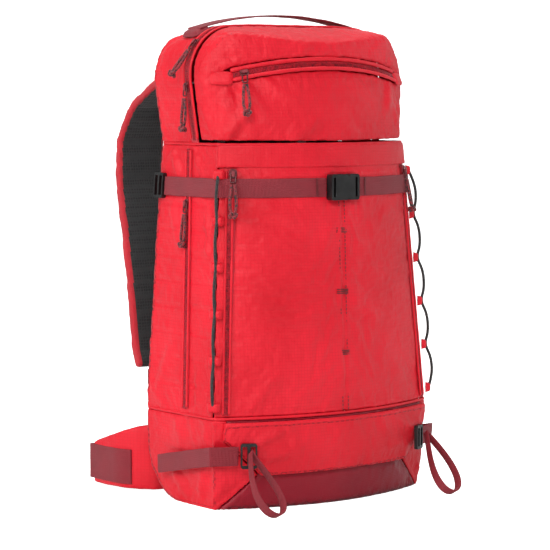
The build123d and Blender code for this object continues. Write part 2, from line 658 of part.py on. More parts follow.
# ---- haul handle -----------------------------------------------------------------------------------
HANDLE_FOOT_Z = corner_z + math.sqrt(TOP_CORNER_R ** 2 - (HANDLE_HALF + corner_x) ** 2) + HANDLE_CLEAR
with BuildPart() as haul_handle:
    with BuildSketch(Plane.XZ.offset(-HANDLE_Y - HANDLE_W / 2)):
        with BuildLine():
            feet = (-HANDLE_HALF, HANDLE_FOOT_Z), (HANDLE_HALF, HANDLE_FOOT_Z)
            ThreePointArc(feet[0], (0, HANDLE_TOP), feet[1])
            under = (HANDLE_HALF, HANDLE_FOOT_Z - WEB), (-HANDLE_HALF, HANDLE_FOOT_Z - WEB)
            Line(feet[1], under[0])
            ThreePointArc(under[0], (0, HANDLE_TOP - WEB), under[1])
            Line(under[1], feet[0])
        make_face()
    extrude(amount=HANDLE_W)
save(haul_handle.part, "haul_handle")
print("handle foot z", HANDLE_FOOT_Z)

# ---- shoulder harness ----------------------------------------------------------------------------------
ANCHOR_Z = 446.0
strap_path = [(PAD_FACE + MOVE_GAP + SHOULDER_T / 2, ANCHOR_Z + 3), (128, 441), (168, 415), (184, 378),
              (176, 330), (153, 268), (138, 205), (130, 150), (122, 132)]
STRAP_ROUND = [30.0, 30.0, 26.0, 120.0, 160.0, 160.0, 10.0]


with BuildPart() as shoulder:
    with BuildSketch(Plane.YZ.offset(-FAR / 2)):
        with BuildLine() as strap_line:
            FilletPolyline(*strap_path, radius=STRAP_ROUND)
        trace(strap_line.line, line_width=SHOULDER_T)
    extrude(amount=FAR / 2)
    with BuildSketch(Plane.XZ.offset(-FAR / 2)):
        with BuildLine():
            ThreePointArc((-92, FAR + 60), (-117, 300), (-122, 110))
            Line((-122, 110), (-76, 110))
            ThreePointArc((-76, 110), (-57, 300), (-36, FAR + 60))
            Line((-36, FAR + 60), (-92, FAR + 60))
        make_face()
    extrude(amount=FAR / 2, mode=Mode.INTERSECT)
save(shoulder.part, "shoulder_strap_left")
with BuildPart() as shoulder_right:
    add(shoulder.part)
    mirror(about=Plane.YZ, mode=Mode.REPLACE)
save(shoulder_right.part, "shoulder_strap_right")

strap_end = strap_path[-1]
end_x = 99.0
shoulder_lock = plain_lock(Plane(origin=(-end_x, strap_end[0] - 6.4, strap_end[1] - 10), x_dir=(0, 0, -1),
                                 z_dir=(0, -1, 0)), 18.0, 30.0, 4.0)
save(pair(shoulder_lock), "shoulder_ladder_locks")

WEB_FOOT_Z = 80.0
with BuildPart() as lower_web:
    with BuildSketch(Plane.YZ.offset(-end_x - 12.5)):
        with BuildLine() as web_line:
            Line((strap_end[0] - 9, strap_end[1] - 20), (PAD_FACE + 1.6, WEB_FOOT_Z))
        trace(web_line.line, line_width=WEB)
    extrude(amount=25.0)
save(pair(lower_web.part), "shoulder_webbings")

# sternum strap across the two shoulder straps, on their outer faces
chest_a, chest_b = Vector(0, *strap_path[4]), Vector(0, *strap_path[5])
chest_run = (chest_b - chest_a).normalized()
chest_out = Vector(0, -chest_run.Z, chest_run.Y)
chest_out = chest_out if chest_out.Y > 0 else -chest_out
chest_mid = chest_a + chest_run * 12.0 + chest_out * (SHOULDER_T / 2 + 1.0)
chest_plane = Plane(origin=tuple(chest_mid), x_dir=(1, 0, 0), z_dir=tuple(chest_out))
CHEST_HALF = 82.0
CHEST_BUCKLE = 34.0
with BuildPart() as sternum_strap:
    with BuildSketch(chest_plane):
        Rectangle(2 * CHEST_HALF, 20.0)
        Rectangle(CHEST_BUCKLE + 1.0, 20.0, mode=Mode.SUBTRACT)
    extrude(amount=WEB)
save(sternum_strap.part, "sternum_strap")
with BuildPart() as sternum_buckle:
    with BuildSketch(chest_plane.offset(-2.4)):
        RectangleRounded(CHEST_BUCKLE, 26.0, 5)
    extrude(amount=8.0)
save(sternum_buckle.part, "sternum_buckle")
print("sternum at", chest_mid, "runs", chest_run)

# ---- hip belt ------------------------------------------------------------------------------------------
HIP_ROOT = (-88.0, PAD_FACE + 1.5 + HIP_T / 2)
hip_path = [HIP_ROOT, (-117.0, HIP_ROOT[1] + 7), (-139.0, 122.0), (-141.0, 176.0)]


def hip_band(width, z0, z1, extra=0.0):
    """Curved upright band along the hip wing's path."""
    points = hip_path[:-1] + [(hip_path[-1][0], hip_path[-1][1] + extra)]
    with BuildPart() as band:
        with BuildSketch(Plane.XY.offset(z0)):
            with BuildLine() as line:
                FilletPolyline(*points, radius=[24.0, 42.0])
            trace(line.line, line_width=width)
        extrude(amount=z1 - z0)
    return band.part


with BuildPart() as hip_wing:
    add(hip_band(HIP_T, 1.0, 76.0))
    with BuildSketch(Plane.YZ.offset(-FAR / 2)):
        with BuildLine():
            Polyline((60, 10), (60, 76), (104, 72), (FAR, -30), (FAR, 1), (90, 1), close=True)
        make_face()
    extrude(amount=FAR, mode=Mode.INTERSECT)
save(hip_wing.part, "hip_wing_left")
with BuildPart() as wing_right:
    add(hip_wing.part)
    mirror(about=Plane.YZ, mode=Mode.REPLACE)
save(wing_right.part, "hip_wing_right")

HIP_WEB_Z = 26.0
with BuildPart() as hip_web:
    add(hip_band(HIP_T + 0.8 + 2 * WEB, HIP_WEB_Z - HIP_WEB / 2, HIP_WEB_Z + HIP_WEB / 2, 3.0))
    add(hip_band(HIP_T + 0.8, 0, FAR, 1.0), mode=Mode.SUBTRACT)
    add(block(-FAR, 0, -FAR, 110, -1, FAR), mode=Mode.SUBTRACT)
save(hip_web.part, "hip_webbing_left")
with BuildPart() as hip_web_right:
    add(hip_web.part)
    mirror(about=Plane.YZ, mode=Mode.REPLACE)
save(hip_web_right.part, "hip_webbing_right")

hip_inner = hip_path[2][0] + HIP_T / 2 + 0.4 + WEB + 1.2
HIP_BUCKLE_Y = 156.0
with BuildPart() as hip_female:
    with BuildSketch(Plane.YZ.offset(hip_inner)):
        with Locations((HIP_BUCKLE_Y, HIP_WEB_Z)):
            RectangleRounded(40, 46, 6)
    extrude(amount=11.0)
    with BuildSketch(Plane.XZ.offset(-HIP_BUCKLE_Y - 21)):
        with Locations((hip_inner + 5.5, HIP_WEB_Z)):
            Rectangle(6.0, 32.0)
    extrude(amount=28.0, mode=Mode.SUBTRACT)
save(hip_female.part, "hip_buckle_female")
with BuildPart() as hip_male:
    with BuildSketch(Plane.YZ.offset(-hip_inner)):
        with Locations((HIP_BUCKLE_Y - 12, HIP_WEB_Z)):
            RectangleRounded(18, 46, 4)
        for height in (-13, 0, 13):
            with Locations((HIP_BUCKLE_Y + 8, HIP_WEB_Z + height)):
                Rectangle(26, 5)
    extrude(amount=-5.0)
save(hip_male.part, "hip_buckle_male")

# ---- gear loops at the base's front corners -----------------------------------------------------------------
LOOP_TOP = 70.0
LOOP_T = 2.0
LOOP_LEN = 76.0
LOOP_HALF = 17.0
LOOP_LEAN = 38.0
loop_x = LOW_LOCK_X
loop_y = front_y(loop_x, LOW_Z, 9.5 + 9.5)
print("gear loop turns at y", loop_y, "z", LOOP_TOP - 6)
loop_plane = Plane(origin=(-loop_x, loop_y, LOOP_TOP - 6), x_dir=(1, 0, 0),
                   z_dir=(0, -math.cos(math.radians(LOOP_LEAN)), math.sin(math.radians(LOOP_LEAN))))
with BuildPart() as gear_loop:
    with BuildSketch(loop_plane.offset(-LOOP_W / 2)):
        with Locations((0, -LOOP_LEN / 2)):
            Ellipse(LOOP_HALF, LOOP_LEN / 2)
            Ellipse(LOOP_HALF - LOOP_T, LOOP_LEN / 2 - LOOP_T, mode=Mode.SUBTRACT)
    extrude(amount=LOOP_W)
save(gear_loop.part, "gear_loop_left")
with BuildPart() as gear_loop_right:
    add(gear_loop.part)
    mirror(about=Plane.YZ, mode=Mode.REPLACE)
save(gear_loop_right.part, "gear_loop_right")

# ---- edge lacing ------------------------------------------------------------------------------------------------
LACE_TABS = 6
lace_top, lace_low = STRAP_Z + 14.0, LOWER_SEAM + 12.0
lace_step = (lace_top - lace_low) / (LACE_TABS - 1)
lace_out = Vector(-0.78, -0.62, 0)


def lace_point(z, proud):
    """Point outside the left front edge."""
    half, depth, _ = at_height(z)
    corner = Vector(-half, BACK_Y - depth, z)
    return corner + lace_out * proud


lace_points = []
for index in range(LACE_TABS):
    level = lace_top - index * lace_step
    lace_points.append(lace_point(level, 5.0))
    if index < LACE_TABS - 1:
        lace_points.append(lace_point(level - lace_step * 0.3, 10.5))
        lace_points.append(lace_point(level - lace_step * 0.72, 10.0))
with BuildPart() as lace:
    with BuildLine() as lace_line:
        bends = [min(0.98 * tangent_radius(*lace_points[i:i + 3]), 60) for i in range(len(lace_points) - 2)]
        FilletPolyline(*lace_points, radius=bends)
    with BuildSketch(Plane(origin=lace_line.line @ 0, z_dir=lace_line.line % 0)):
        Circle(LACE_D / 2)
    sweep()
lace_length = sum(edge.length for edge in lace_line.edges())
print("lace length", lace_length, "volume over section", lace.part.volume / (math.pi * LACE_D ** 2 / 4))
print("lace radii", [round(b, 1) for b in bends])
save(pair(lace.part), "edge_laces")

print(len(written), "nodes")
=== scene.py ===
"""Ski backpack: the soft goods, webbing, zips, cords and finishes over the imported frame."""
import json
import math

import bpy
import numpy as np
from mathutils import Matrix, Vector, kdtree, noise
from mathutils.bvhtree import BVHTree


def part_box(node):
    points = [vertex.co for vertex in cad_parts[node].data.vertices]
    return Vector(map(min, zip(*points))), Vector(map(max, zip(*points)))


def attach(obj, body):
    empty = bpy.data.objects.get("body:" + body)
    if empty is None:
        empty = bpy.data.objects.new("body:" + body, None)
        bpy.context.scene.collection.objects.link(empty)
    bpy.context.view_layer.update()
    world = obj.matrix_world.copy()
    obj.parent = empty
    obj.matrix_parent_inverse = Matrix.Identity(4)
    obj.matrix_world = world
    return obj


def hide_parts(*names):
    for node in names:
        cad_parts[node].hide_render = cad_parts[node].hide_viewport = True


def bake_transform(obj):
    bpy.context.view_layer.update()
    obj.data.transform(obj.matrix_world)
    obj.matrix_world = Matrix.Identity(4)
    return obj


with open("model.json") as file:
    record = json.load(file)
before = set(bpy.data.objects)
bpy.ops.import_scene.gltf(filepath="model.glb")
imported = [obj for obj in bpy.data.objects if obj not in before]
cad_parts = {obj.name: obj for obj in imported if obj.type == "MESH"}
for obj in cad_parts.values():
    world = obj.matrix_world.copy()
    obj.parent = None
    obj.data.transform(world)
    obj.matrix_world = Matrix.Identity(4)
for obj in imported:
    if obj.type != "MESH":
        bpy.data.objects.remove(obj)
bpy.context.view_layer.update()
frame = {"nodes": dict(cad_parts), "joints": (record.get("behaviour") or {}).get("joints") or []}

bl_info = {
    "name": "Ski backpack",
    "version": (1, 0, 0),
    "blender": (4, 5, 0),
    "location": "View3D > Sidebar > Backpack",
    "description": "Sews and finishes a ski backpack around its packed frame",
    "category": "Object",
}

MM = 0.001
JOINTS = {joint["name"]: joint for joint in frame["joints"]}


# ---- small tools -------------------------------------------------------------------------------------
def only(piece):
    """Select one piece alone and make it active."""
    bpy.ops.object.select_all(action="DESELECT")
    piece.select_set(True)
    bpy.context.view_layer.objects.active = piece


def apply(piece, kind, **settings):
    """Add a modifier with its settings and apply it."""
    only(piece)
    modifier = piece.modifiers.new(kind.title(), kind)
    for key, value in settings.items():
        setattr(modifier, key, value)
    bpy.ops.object.modifier_apply(modifier=modifier.name)


def points_of(piece):
    """Vertex places as an array."""
    values = np.empty(len(piece.data.vertices) * 3)
    piece.data.vertices.foreach_get("co", values)
    return values.reshape(-1, 3)


def normals_of(piece):
    """Vertex normals as an array."""
    values = np.empty(len(piece.data.vertices) * 3)
    piece.data.vertex_normals.foreach_get("vector", values)
    return values.reshape(-1, 3)


def set_points(piece, places):
    """Write vertex places back, none of them below the floor."""
    places[:, 2] = np.maximum(places[:, 2], 0.2 * MM)
    piece.data.vertices.foreach_set("co", places.ravel())
    piece.data.update()


def smooth(piece, angle=40.0):
    """Shade smooth, with edges sharper than angle kept."""
    only(piece)
    bpy.ops.object.shade_smooth_by_angle(angle=math.radians(angle))


def new_mesh(name, verts, faces):
    """A mesh piece from its points and faces."""
    mesh = bpy.data.meshes.new(name)
    mesh.from_pydata([tuple(v) for v in verts], [], faces)
    piece = bpy.data.objects.new(name, mesh)
    bpy.context.collection.objects.link(piece)
    return piece


def cad_copy(name, node):
    """A welded copy of a CAD node's mesh."""
    piece = bpy.data.objects.new(name, frame["nodes"][node].data.copy())
    piece.data.materials.clear()
    bpy.context.collection.objects.link(piece)
    only(piece)
    bpy.ops.object.mode_set(mode="EDIT")
    bpy.ops.mesh.select_all(action="SELECT")
    bpy.ops.mesh.remove_doubles(threshold=0.02 * MM)
    bpy.ops.object.mode_set(mode="OBJECT")
    return piece


def face_out(piece, loose=False):
    """Turn every face outwards; loose also drops points that no face uses."""
    only(piece)
    bpy.ops.object.mode_set(mode="EDIT")
    bpy.ops.mesh.select_all(action="SELECT")
    if loose:
        bpy.ops.mesh.delete_loose()
        bpy.ops.mesh.select_all(action="SELECT")
    bpy.ops.mesh.normals_make_consistent(inside=False)
    bpy.ops.object.mode_set(mode="OBJECT")


def mark_seam(piece, values):
    """Each point's distance from its seam, which the stitches are drawn from."""
    seam = piece.data.attributes.new("seam", "FLOAT", "POINT")
    seam.data.foreach_set("value", np.asarray(values, np.float32))


def no_seam(piece):
    """Points too far from a seam for any stitch."""
    mark_seam(piece, np.full(len(piece.data.vertices), 1.0))


def box_map(piece, turned=False):
    """UV map in metres, each face laid flat along its widest side, so that the weave keeps its size."""
    mesh = piece.data
    layer = mesh.uv_layers.get("weave") or mesh.uv_layers.new(name="weave")
    normals = np.empty(len(mesh.polygons) * 3)
    mesh.polygon_normals.foreach_get("vector", normals)
    axis = np.argmax(np.abs(normals.reshape(-1, 3)), axis=1)
    totals = np.empty(len(mesh.polygons), np.int32)
    mesh.polygons.foreach_get("loop_total", totals)
    corner_axis = np.repeat(axis, totals)
    corner_vertex = np.empty(len(mesh.loops), np.int32)
    mesh.loops.foreach_get("vertex_index", corner_vertex)
    places = points_of(piece)[corner_vertex]
    across = np.where(corner_axis == 0, places[:, 1], places[:, 0])
    up = np.where(corner_axis == 2, places[:, 1], places[:, 2])
    flat = np.stack([up, across] if turned else [across, up], axis=1)
    layer.data.foreach_set("uv", flat.ravel().astype(np.float32))


def finish(piece, body, slot_name, *materials):
    """Give a piece its materials and the body that carries it; the slot name is not used."""
    for material in materials:
        piece.data.materials.append(material)
    if body:
        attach(piece, body)
    return piece


# ---- materials ---------------------------------------------------------------------------------------
def linear(code):
    """Linear colour of an sRGB hex value."""
    parts = [int(code[i:i + 2], 16) / 255 for i in (1, 3, 5)]
    return [p / 12.92 if p <= 0.04045 else ((p + 0.055) / 1.055) ** 2.4 for p in parts] + [1.0]


def add(tree, kind, settings=(), **inputs):
    """Add a shader node with its settings; an input is a value or another node's socket."""
    made = tree.nodes.new(kind)
    for key, value in dict(settings).items():
        setattr(made, key, value)
    for key, value in inputs.items():
        socket = made.inputs[int(key[1:])] if key[1:].isdigit() else made.inputs[key.replace("_", " ")]
        if isinstance(value, bpy.types.NodeSocket):
            tree.links.new(value, socket)
        else:
            socket.default_value = value
    return made


def surface(name, colour, roughness, bump=None, strength=0.3, depth=0.3 * MM, **constants):
    """A principled material; constants are set on the shader's own sockets."""
    material = bpy.data.materials.new(name)
    material.use_nodes = True
    tree = material.node_tree
    shader = tree.nodes["Principled BSDF"]
    tree.links.new(colour(tree), shader.inputs["Base Color"])
    if callable(roughness):
        tree.links.new(roughness(tree), shader.inputs["Roughness"])
    else:
        shader.inputs["Roughness"].default_value = roughness
    if bump:
        lift = add(tree, "ShaderNodeBump", Height=bump(tree), Strength=strength, Distance=depth)
        tree.links.new(lift.outputs[0], shader.inputs["Normal"])
    for key, value in constants.items():
        shader.inputs[key.replace("_", " ")].default_value = value
    return material


def weave_uv(tree):
    """The flat map in metres that keeps the weave's size."""
    return add(tree, "ShaderNodeUVMap", {"uv_map": "weave"}).outputs[0]


def place(tree):
    """Places in the pack's own frame, in metres."""
    return add(tree, "ShaderNodeTexCoord").outputs["Object"]


def mixed(tree, share, first, second, blend="MIX"):
    """Mix of two colours, each a hex value or a socket."""
    ends = [linear(c) if isinstance(c, str) else c for c in (first, second)]
    return add(tree, "ShaderNodeMix", {"data_type": "RGBA", "blend_type": blend},
               _0=share, _6=ends[0], _7=ends[1]).outputs[2]


def ranged(tree, value, low, high, to_low=0.0, to_high=1.0):
    """A value mapped from low and high to another range, and held inside it."""
    return add(tree, "ShaderNodeMapRange", Value=value, From_Min=low, From_Max=high,
               To_Min=to_low, To_Max=to_high).outputs[0]


def maths(tree, operation, *values):
    """One arithmetic node over values or sockets."""
    inputs = {f"_{index}": value for index, value in enumerate(values)}
    return add(tree, "ShaderNodeMath", {"operation": operation}, **inputs).outputs[0]


def clouds(tree, per_metre, detail=3.0):
    """Soft uneven tone over a surface."""
    return add(tree, "ShaderNodeTexNoise", Vector=place(tree), Scale=per_metre, Detail=detail).outputs["Fac"]


def ripstop_grid(tree, pitch, line):
    """1 on the reinforcing yarns of a ripstop weave, pitch apart, in metres."""
    return add(tree, "ShaderNodeTexBrick", {"offset": 0.0, "squash": 1.0}, Vector=weave_uv(tree), Scale=1.0,
               Mortar_Size=line, Mortar_Smooth=0.6, Brick_Width=pitch, Row_Height=pitch).outputs["Fac"]


def ribs(tree, pitch, direction):
    """Rounded ribs, pitch apart; a wave texture has one wave in a length of pi / 10 at scale 1."""
    return add(tree, "ShaderNodeTexWave", {"bands_direction": direction}, Vector=weave_uv(tree),
               Scale=math.pi / (10 * pitch)).outputs["Fac"]


def stitches(tree, from_seam, pitch=3.2 * MM, width=0.5 * MM):
    """1 on a row of topstitches that runs at from_seam beside every seam."""
    away = add(tree, "ShaderNodeAttribute", {"attribute_name": "seam"}).outputs["Fac"]
    near = maths(tree, "ABSOLUTE", maths(tree, "SUBTRACT", away, from_seam))
    row = ranged(tree, near, width * 0.7, width * 1.6, 1.0, 0.0)
    dashes = add(tree, "ShaderNodeTexChecker", Vector=place(tree), Scale=1 / pitch).outputs["Fac"]
    dash = ranged(tree, dashes, 0.0, 1.0, 0.35, 1.0)
    return maths(tree, "MULTIPLY", row, dash)


def ripstop(name, main, shade, thread, pitch=3.4 * MM, roughness=0.42, seam=4.5 * MM):
    """Coated ripstop nylon: a fine shiny weave with a raised grid of heavier yarns."""
    def colour(tree):
        base = mixed(tree, ranged(tree, clouds(tree, 9.0), 0.35, 0.7), main, shade)
        lined = mixed(tree, ranged(tree, ripstop_grid(tree, pitch, 0.35 * MM), 0, 1, 0, 0.42), base, shade)
        return mixed(tree, stitches(tree, seam), lined, thread)

    def relief(tree):
        grid = ripstop_grid(tree, pitch, 0.4 * MM)
        # the plain weave is drawn at 0.9 mm, coarser than its real 0.3 mm, so that it shows
        fine = maths(tree, "MULTIPLY", ribs(tree, 0.9 * MM, "X"), ribs(tree, 0.9 * MM, "Y"))
        both = maths(tree, "MULTIPLY_ADD", grid, 1.6, fine)
        sewn = stitches(tree, seam)
        return maths(tree, "MULTIPLY_ADD", sewn, -1.5, both)

    return surface(name, colour, roughness, relief, 0.35, 0.25 * MM, Sheen_Weight=0.06, Sheen_Roughness=0.4,
                   Specular_IOR_Level=0.32, Coat_Weight=0.02, Coat_Roughness=0.35)


def webbing(name, main, shade, pitch=1.3 * MM):
    """Woven polyester webbing: ribs across the strap, with painted shade in their valleys."""
    def colour(tree):
        worn = mixed(tree, ranged(tree, clouds(tree, 45.0), 0.35, 0.75, 0.0, 0.45), main, shade)
        # painted shade: the colour darkens in the valleys between the ribs, where shade would fall
        return mixed(tree, ranged(tree, ribs(tree, pitch, "X"), 0, 1, 0.55, 0.0), worn, shade)

    def relief(tree):
        across = ribs(tree, pitch, "X")
        along = ribs(tree, 2.2 * MM, "Y")
        return maths(tree, "MULTIPLY_ADD", along, 0.5, across)

    return surface(name, colour, 0.62, relief, 0.7, 0.4 * MM, Sheen_Weight=0.08, Sheen_Roughness=0.5)


def spacer_mesh(name):
    """Spacer mesh: a knit with small round openings over black foam."""
    def cells(tree):
        return add(tree, "ShaderNodeTexVoronoi", Vector=place(tree), Scale=1 / (3.2 * MM),
                   Randomness=0.15).outputs["Distance"]

    def colour(tree):
        return mixed(tree, ranged(tree, cells(tree), 0.2, 0.5), "#060606", "#2A2A2B")

    return surface(name, colour, 0.85, cells, 0.8, 0.8 * MM, Sheen_Weight=0.2, Sheen_Roughness=0.6)


def moulded(name, main, shade, roughness=0.38):
    """Moulded acetal: a fine spark-eroded grain."""
    def colour(tree):
        return mixed(tree, ranged(tree, clouds(tree, 120.0), 0.4, 0.65), main, shade)

    def grain(tree):
        return clouds(tree, 2200.0, 2.0)

    return surface(name, colour, roughness, grain, 0.12, 0.1 * MM)


def enamelled(name, main, worn):
    """Enamelled zinc casting, rubbed a little on its high spots."""
    def colour(tree):
        edge = add(tree, "ShaderNodeNewGeometry").outputs["Pointiness"]
        return mixed(tree, ranged(tree, edge, 0.52, 0.6), main, worn)

    return surface(name, colour, 0.36, lambda tree: clouds(tree, 900.0), 0.08, 0.1 * MM, Coat_Weight=0.3)


def braided(name, main, fleck, pitch=1.1 * MM):
    """Braided cord: diagonal strands with dark flecks."""
    def strands(tree):
        return add(tree, "ShaderNodeTexVoronoi", Vector=place(tree), Scale=1 / pitch).outputs["Distance"]

    def colour(tree):
        specks = clouds(tree, 520.0, 1.0)
        return mixed(tree, ranged(tree, specks, 0.5, 0.56), main, fleck)

    return surface(name, colour, 0.6, strands, 0.7, 0.5 * MM, Sheen_Weight=0.25)


def coil(name, colour_code):
    """Nylon zip coil, glossy and slightly see-through at its turns."""
    def colour(tree):
        return mixed(tree, ranged(tree, clouds(tree, 300.0), 0.4, 0.7), colour_code, "#5A0814")

    return surface(name, colour, 0.3, None)


def brushed_metal(name):
    """Extruded aluminium, brushed along its length."""
    def colour(tree):
        return mixed(tree, clouds(tree, 200.0), "#B9BBBF", "#8E9094")

    return surface(name, colour, 0.35, None, Metallic=1.0)


FINISHES = {}   # filled by make_finishes once the settings are known


def make_finishes(colours):
    """All the pack's materials, from the colours in its settings."""
    red, dark_red, maroon = colours
    FINISHES.update(
        shell=ripstop("coated_ripstop_nylon_red", red, "#D2041E", "#A80018"),
        base=ripstop("coated_oxford_nylon_maroon", maroon, "#84001C", "#600014", 1.8 * MM, 0.3),
        lining=spacer_mesh("spacer_mesh_black"),
        webbing=webbing("polyester_webbing_dark_red", dark_red, "#6C0C18"),
        tape=webbing("zip_tape_red", "#D41A30", "#B01024", 0.9 * MM),
        coil=coil("nylon_zip_coil_red", "#B81228"),
        binding=webbing("edge_binding_red", "#D8142A", "#A30C1E", 1.0 * MM),
        plastic=moulded("acetal_black", "#0D0D0E", "#1B1B1C"),
        board=moulded("polyethylene_sheet_black", "#101011", "#1A1A1A", 0.5),
        zinc=enamelled("enamelled_zinc_dark_red", "#5B0D16", "#8A3038"),
        cord=braided("braided_cord_dark_red", "#8E1A26", "#1C0A0C"),
        lace=braided("braided_shock_cord_black", "#101010", "#2E2E2E"),
        stay=brushed_metal("aluminium_extruded"),
        thread=webbing("bonded_thread_dark_red", "#7E0C1A", "#5A0812", 0.8 * MM),
    )


# ---- stage and camera --------------------------------------------------------------------------------
def make_camera():
    """Three-quarter view from the pack's left, a little above it."""
    target = Vector((-0.0211, 0.0084, 0.2353))
    azimuth, elevation, distance = math.radians(36.85), math.radians(4.43), 2.487
    ahead = Vector((math.sin(azimuth) * math.cos(elevation), math.cos(azimuth) * math.cos(elevation),
                    -math.sin(elevation)))
    data = bpy.data.cameras.new("camera")
    data.lens = 151.95
    camera = bpy.data.objects.new("camera", data)
    bpy.context.collection.objects.link(camera)
    camera.location = target - ahead * distance
    camera.rotation_euler = ahead.to_track_quat("-Z", "Y").to_euler()
    bpy.context.scene.camera = camera


def area_light(name, place_at, size, power, look_at=(0, 0, 0.25)):
    """A square softbox turned towards the pack's middle."""
    data = bpy.data.lights.new(name, "AREA")
    data.size = size
    data.energy = power
    lamp = bpy.data.objects.new(name, data)
    bpy.context.collection.objects.link(lamp)
    lamp.location = place_at
    lamp.rotation_euler = (Vector(look_at) - Vector(place_at)).to_track_quat("-Z", "Y").to_euler()


BOWL = ((0.0, 0.0), (2.4, 0.0), (3.4, 0.12), (4.2, 0.6), (4.6, 1.6), (4.7, 4.0))   # floor's reach and rise
BOWL_STEPS = 24


def make_stage():
    """Pale floor that sweeps up all round the pack, and soft studio lights."""
    verts, faces = [], []
    for index in range(BOWL_STEPS + 1):
        turn = 2 * math.pi * index / BOWL_STEPS
        for reach, rise in BOWL:
            verts.append((reach * math.cos(turn), reach * math.sin(turn), rise))
    for index in range(BOWL_STEPS):
        for ring in range(len(BOWL) - 1):
            a, b = index * len(BOWL) + ring, (index + 1) * len(BOWL) + ring
            faces.append((a, a + 1, b + 1, b))
    floor = new_mesh("studio_floor", verts, faces)
    apply(floor, "SUBSURF", levels=2, render_levels=2)
    smooth(floor, 80)
    pale = surface("pale_floor", lambda t: mixed(t, clouds(t, 2.0), "#F4F4F4", "#EFEFEF"), 0.9,
                   Emission_Color=(1, 1, 1, 1))
    path = add(pale.node_tree, "ShaderNodeLightPath").outputs["Is Camera Ray"]
    glow = ranged(pale.node_tree, path, 0.0, 0.7)
    pale.node_tree.links.new(glow, pale.node_tree.nodes["Principled BSDF"].inputs["Emission Strength"])
    floor.data.materials.append(pale)
    area_light("key_softbox", (-1.7, -1.8, 1.8), 1.0, 33)
    area_light("left_softbox", (-2.5, 0.1, 1.3), 0.9, 26)
    area_light("right_softbox", (2.2, -1.2, 0.9), 0.8, 5)
    area_light("top_softbox", (0.1, 0.3, 2.4), 1.1, 20)
    bpy.context.scene.view_settings.view_transform = "Standard"
    world = bpy.data.worlds.new("studio")
    world.use_nodes = True
    tree = world.node_tree
    ambient = tree.nodes["Background"]
    ambient.inputs[0].default_value = (1, 1, 1, 1)
    ambient.inputs[1].default_value = 0.34
    backdrop = add(tree, "ShaderNodeBackground", Color=(1, 1, 1, 1), Strength=0.96)
    seen = add(tree, "ShaderNodeLightPath").outputs["Is Camera Ray"]
    both = add(tree, "ShaderNodeMixShader", _0=seen, _1=ambient.outputs[0], _2=backdrop.outputs[0])
    tree.links.new(both.outputs[0], tree.nodes["World Output"].inputs[0])
    bpy.context.scene.world = world


# ---- cords -------------------------------------------------------------------------------------------
GOGGLE_OUT = Vector((-0.422618, -0.805973, 0.414488))
GOGGLE_HANG = Vector((0, 0, -1)) + GOGGLE_OUT * GOGGLE_OUT.z
PULLS = {   # pull: (body, joint, direction it hangs in)
    "main_lower": ("main_low_pull", "main_low_pull_swing", Vector((-0.08, 0, -1))),
    "main_upper": ("main_up_pull", "main_up_pull_swing", Vector((-0.642788, 0, -0.766044))),
    "goggle": ("goggle_pull", "goggle_pull_swing", GOGGLE_HANG),
    "side": ("side_pull", "side_pull_swing", Vector((-0.1, 0, -1))),
    "front_left": ("front_pull_left", "front_left_pull_swing", Vector((-0.1164, -0.16264, -1))),
    "front_right": ("front_pull_right", "front_right_pull_swing", Vector((0.1164, -0.16264, -1))),
}
CORD_D = 3.0 * MM
KNOT_BELOW = 43.5 * MM
KNOT_SIZE = 4.4 * MM


def nurbs(name, route, diameter, resolution=5):
    """A round cord along one smooth spline whose control points are the route."""
    curve = bpy.data.curves.new(name, "CURVE")
    curve.dimensions = "3D"
    curve.bevel_depth = diameter / 2
    curve.bevel_resolution = 3
    curve.use_fill_caps = True
    spline = curve.splines.new("NURBS")
    spline.points.add(len(route) - 1)
    for point, spot in zip(spline.points, route):
        point.co = (*spot, 1)
    spline.order_u = 3
    spline.use_endpoint_u = True
    spline.resolution_u = resolution
    piece = bpy.data.objects.new(name, curve)
    bpy.context.collection.objects.link(piece)
    return piece


def knot_mesh(name, centre, drop, side, size, thick):
    """An overhand knot pulled tight: a trefoil of cord."""
    out = drop.cross(side)
    curve = bpy.data.curves.new(name, "CURVE")
    curve.dimensions = "3D"
    curve.bevel_depth = thick / 2
    curve.bevel_resolution = 2
    spline = curve.splines.new("NURBS")
    turns = 18
    spline.points.add(turns - 1)
    for index, point in enumerate(spline.points):
        t = 2 * math.pi * index / turns
        a, b, c = math.sin(t) + 2 * math.sin(2 * t), math.cos(t) - 2 * math.cos(2 * t), -math.sin(3 * t)
        point.co = (*(centre + size * (side * a * 0.3 + out * b * 0.3 + drop * c * 0.5)), 1)
    spline.order_u = 4
    spline.use_cyclic_u = True
    spline.resolution_u = 3
    piece = bpy.data.objects.new(name, curve)
    bpy.context.collection.objects.link(piece)
    only(piece)
    bpy.ops.object.convert(target="MESH")
    return bpy.context.object


def make_pulls():
    """Two strands and a knot for each zip pull."""
    for name, (body, joint, hang) in PULLS.items():
        pivot = Vector(JOINTS[joint]["pos_m"])
        side = -Vector(JOINTS[joint]["axis"]).normalized()
        drop = hang.normalized()
        out = drop.cross(side)

        def at(across, below, off):
            return pivot + (side * across + drop * below + out * off) * MM

        strands = []
        for sign, end in ((-1, "a"), (1, "b")):
            route = [at(sign * 1.45, 11.2, 0.4), at(sign * 2.25, 18, 0.2), at(sign * 3.2, 27, 0),
                     at(sign * 3.5, 36, 0), at(sign * 1.75, 40, 0)]
            strands.append((nurbs(f"{name}_pull_strand_{end}", route, CORD_D), route[0]))
        knot = knot_mesh(f"{name}_pull_knot", pivot + drop * KNOT_BELOW, drop, side, KNOT_SIZE, CORD_D)
        smooth(knot, 80)
        finish(knot, body, "pull_cord", FINISHES["cord"])
        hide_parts(f"{name}_cord")
        for strand, start in strands:
            finish(strand, body, "pull_cord", FINISHES["cord"])


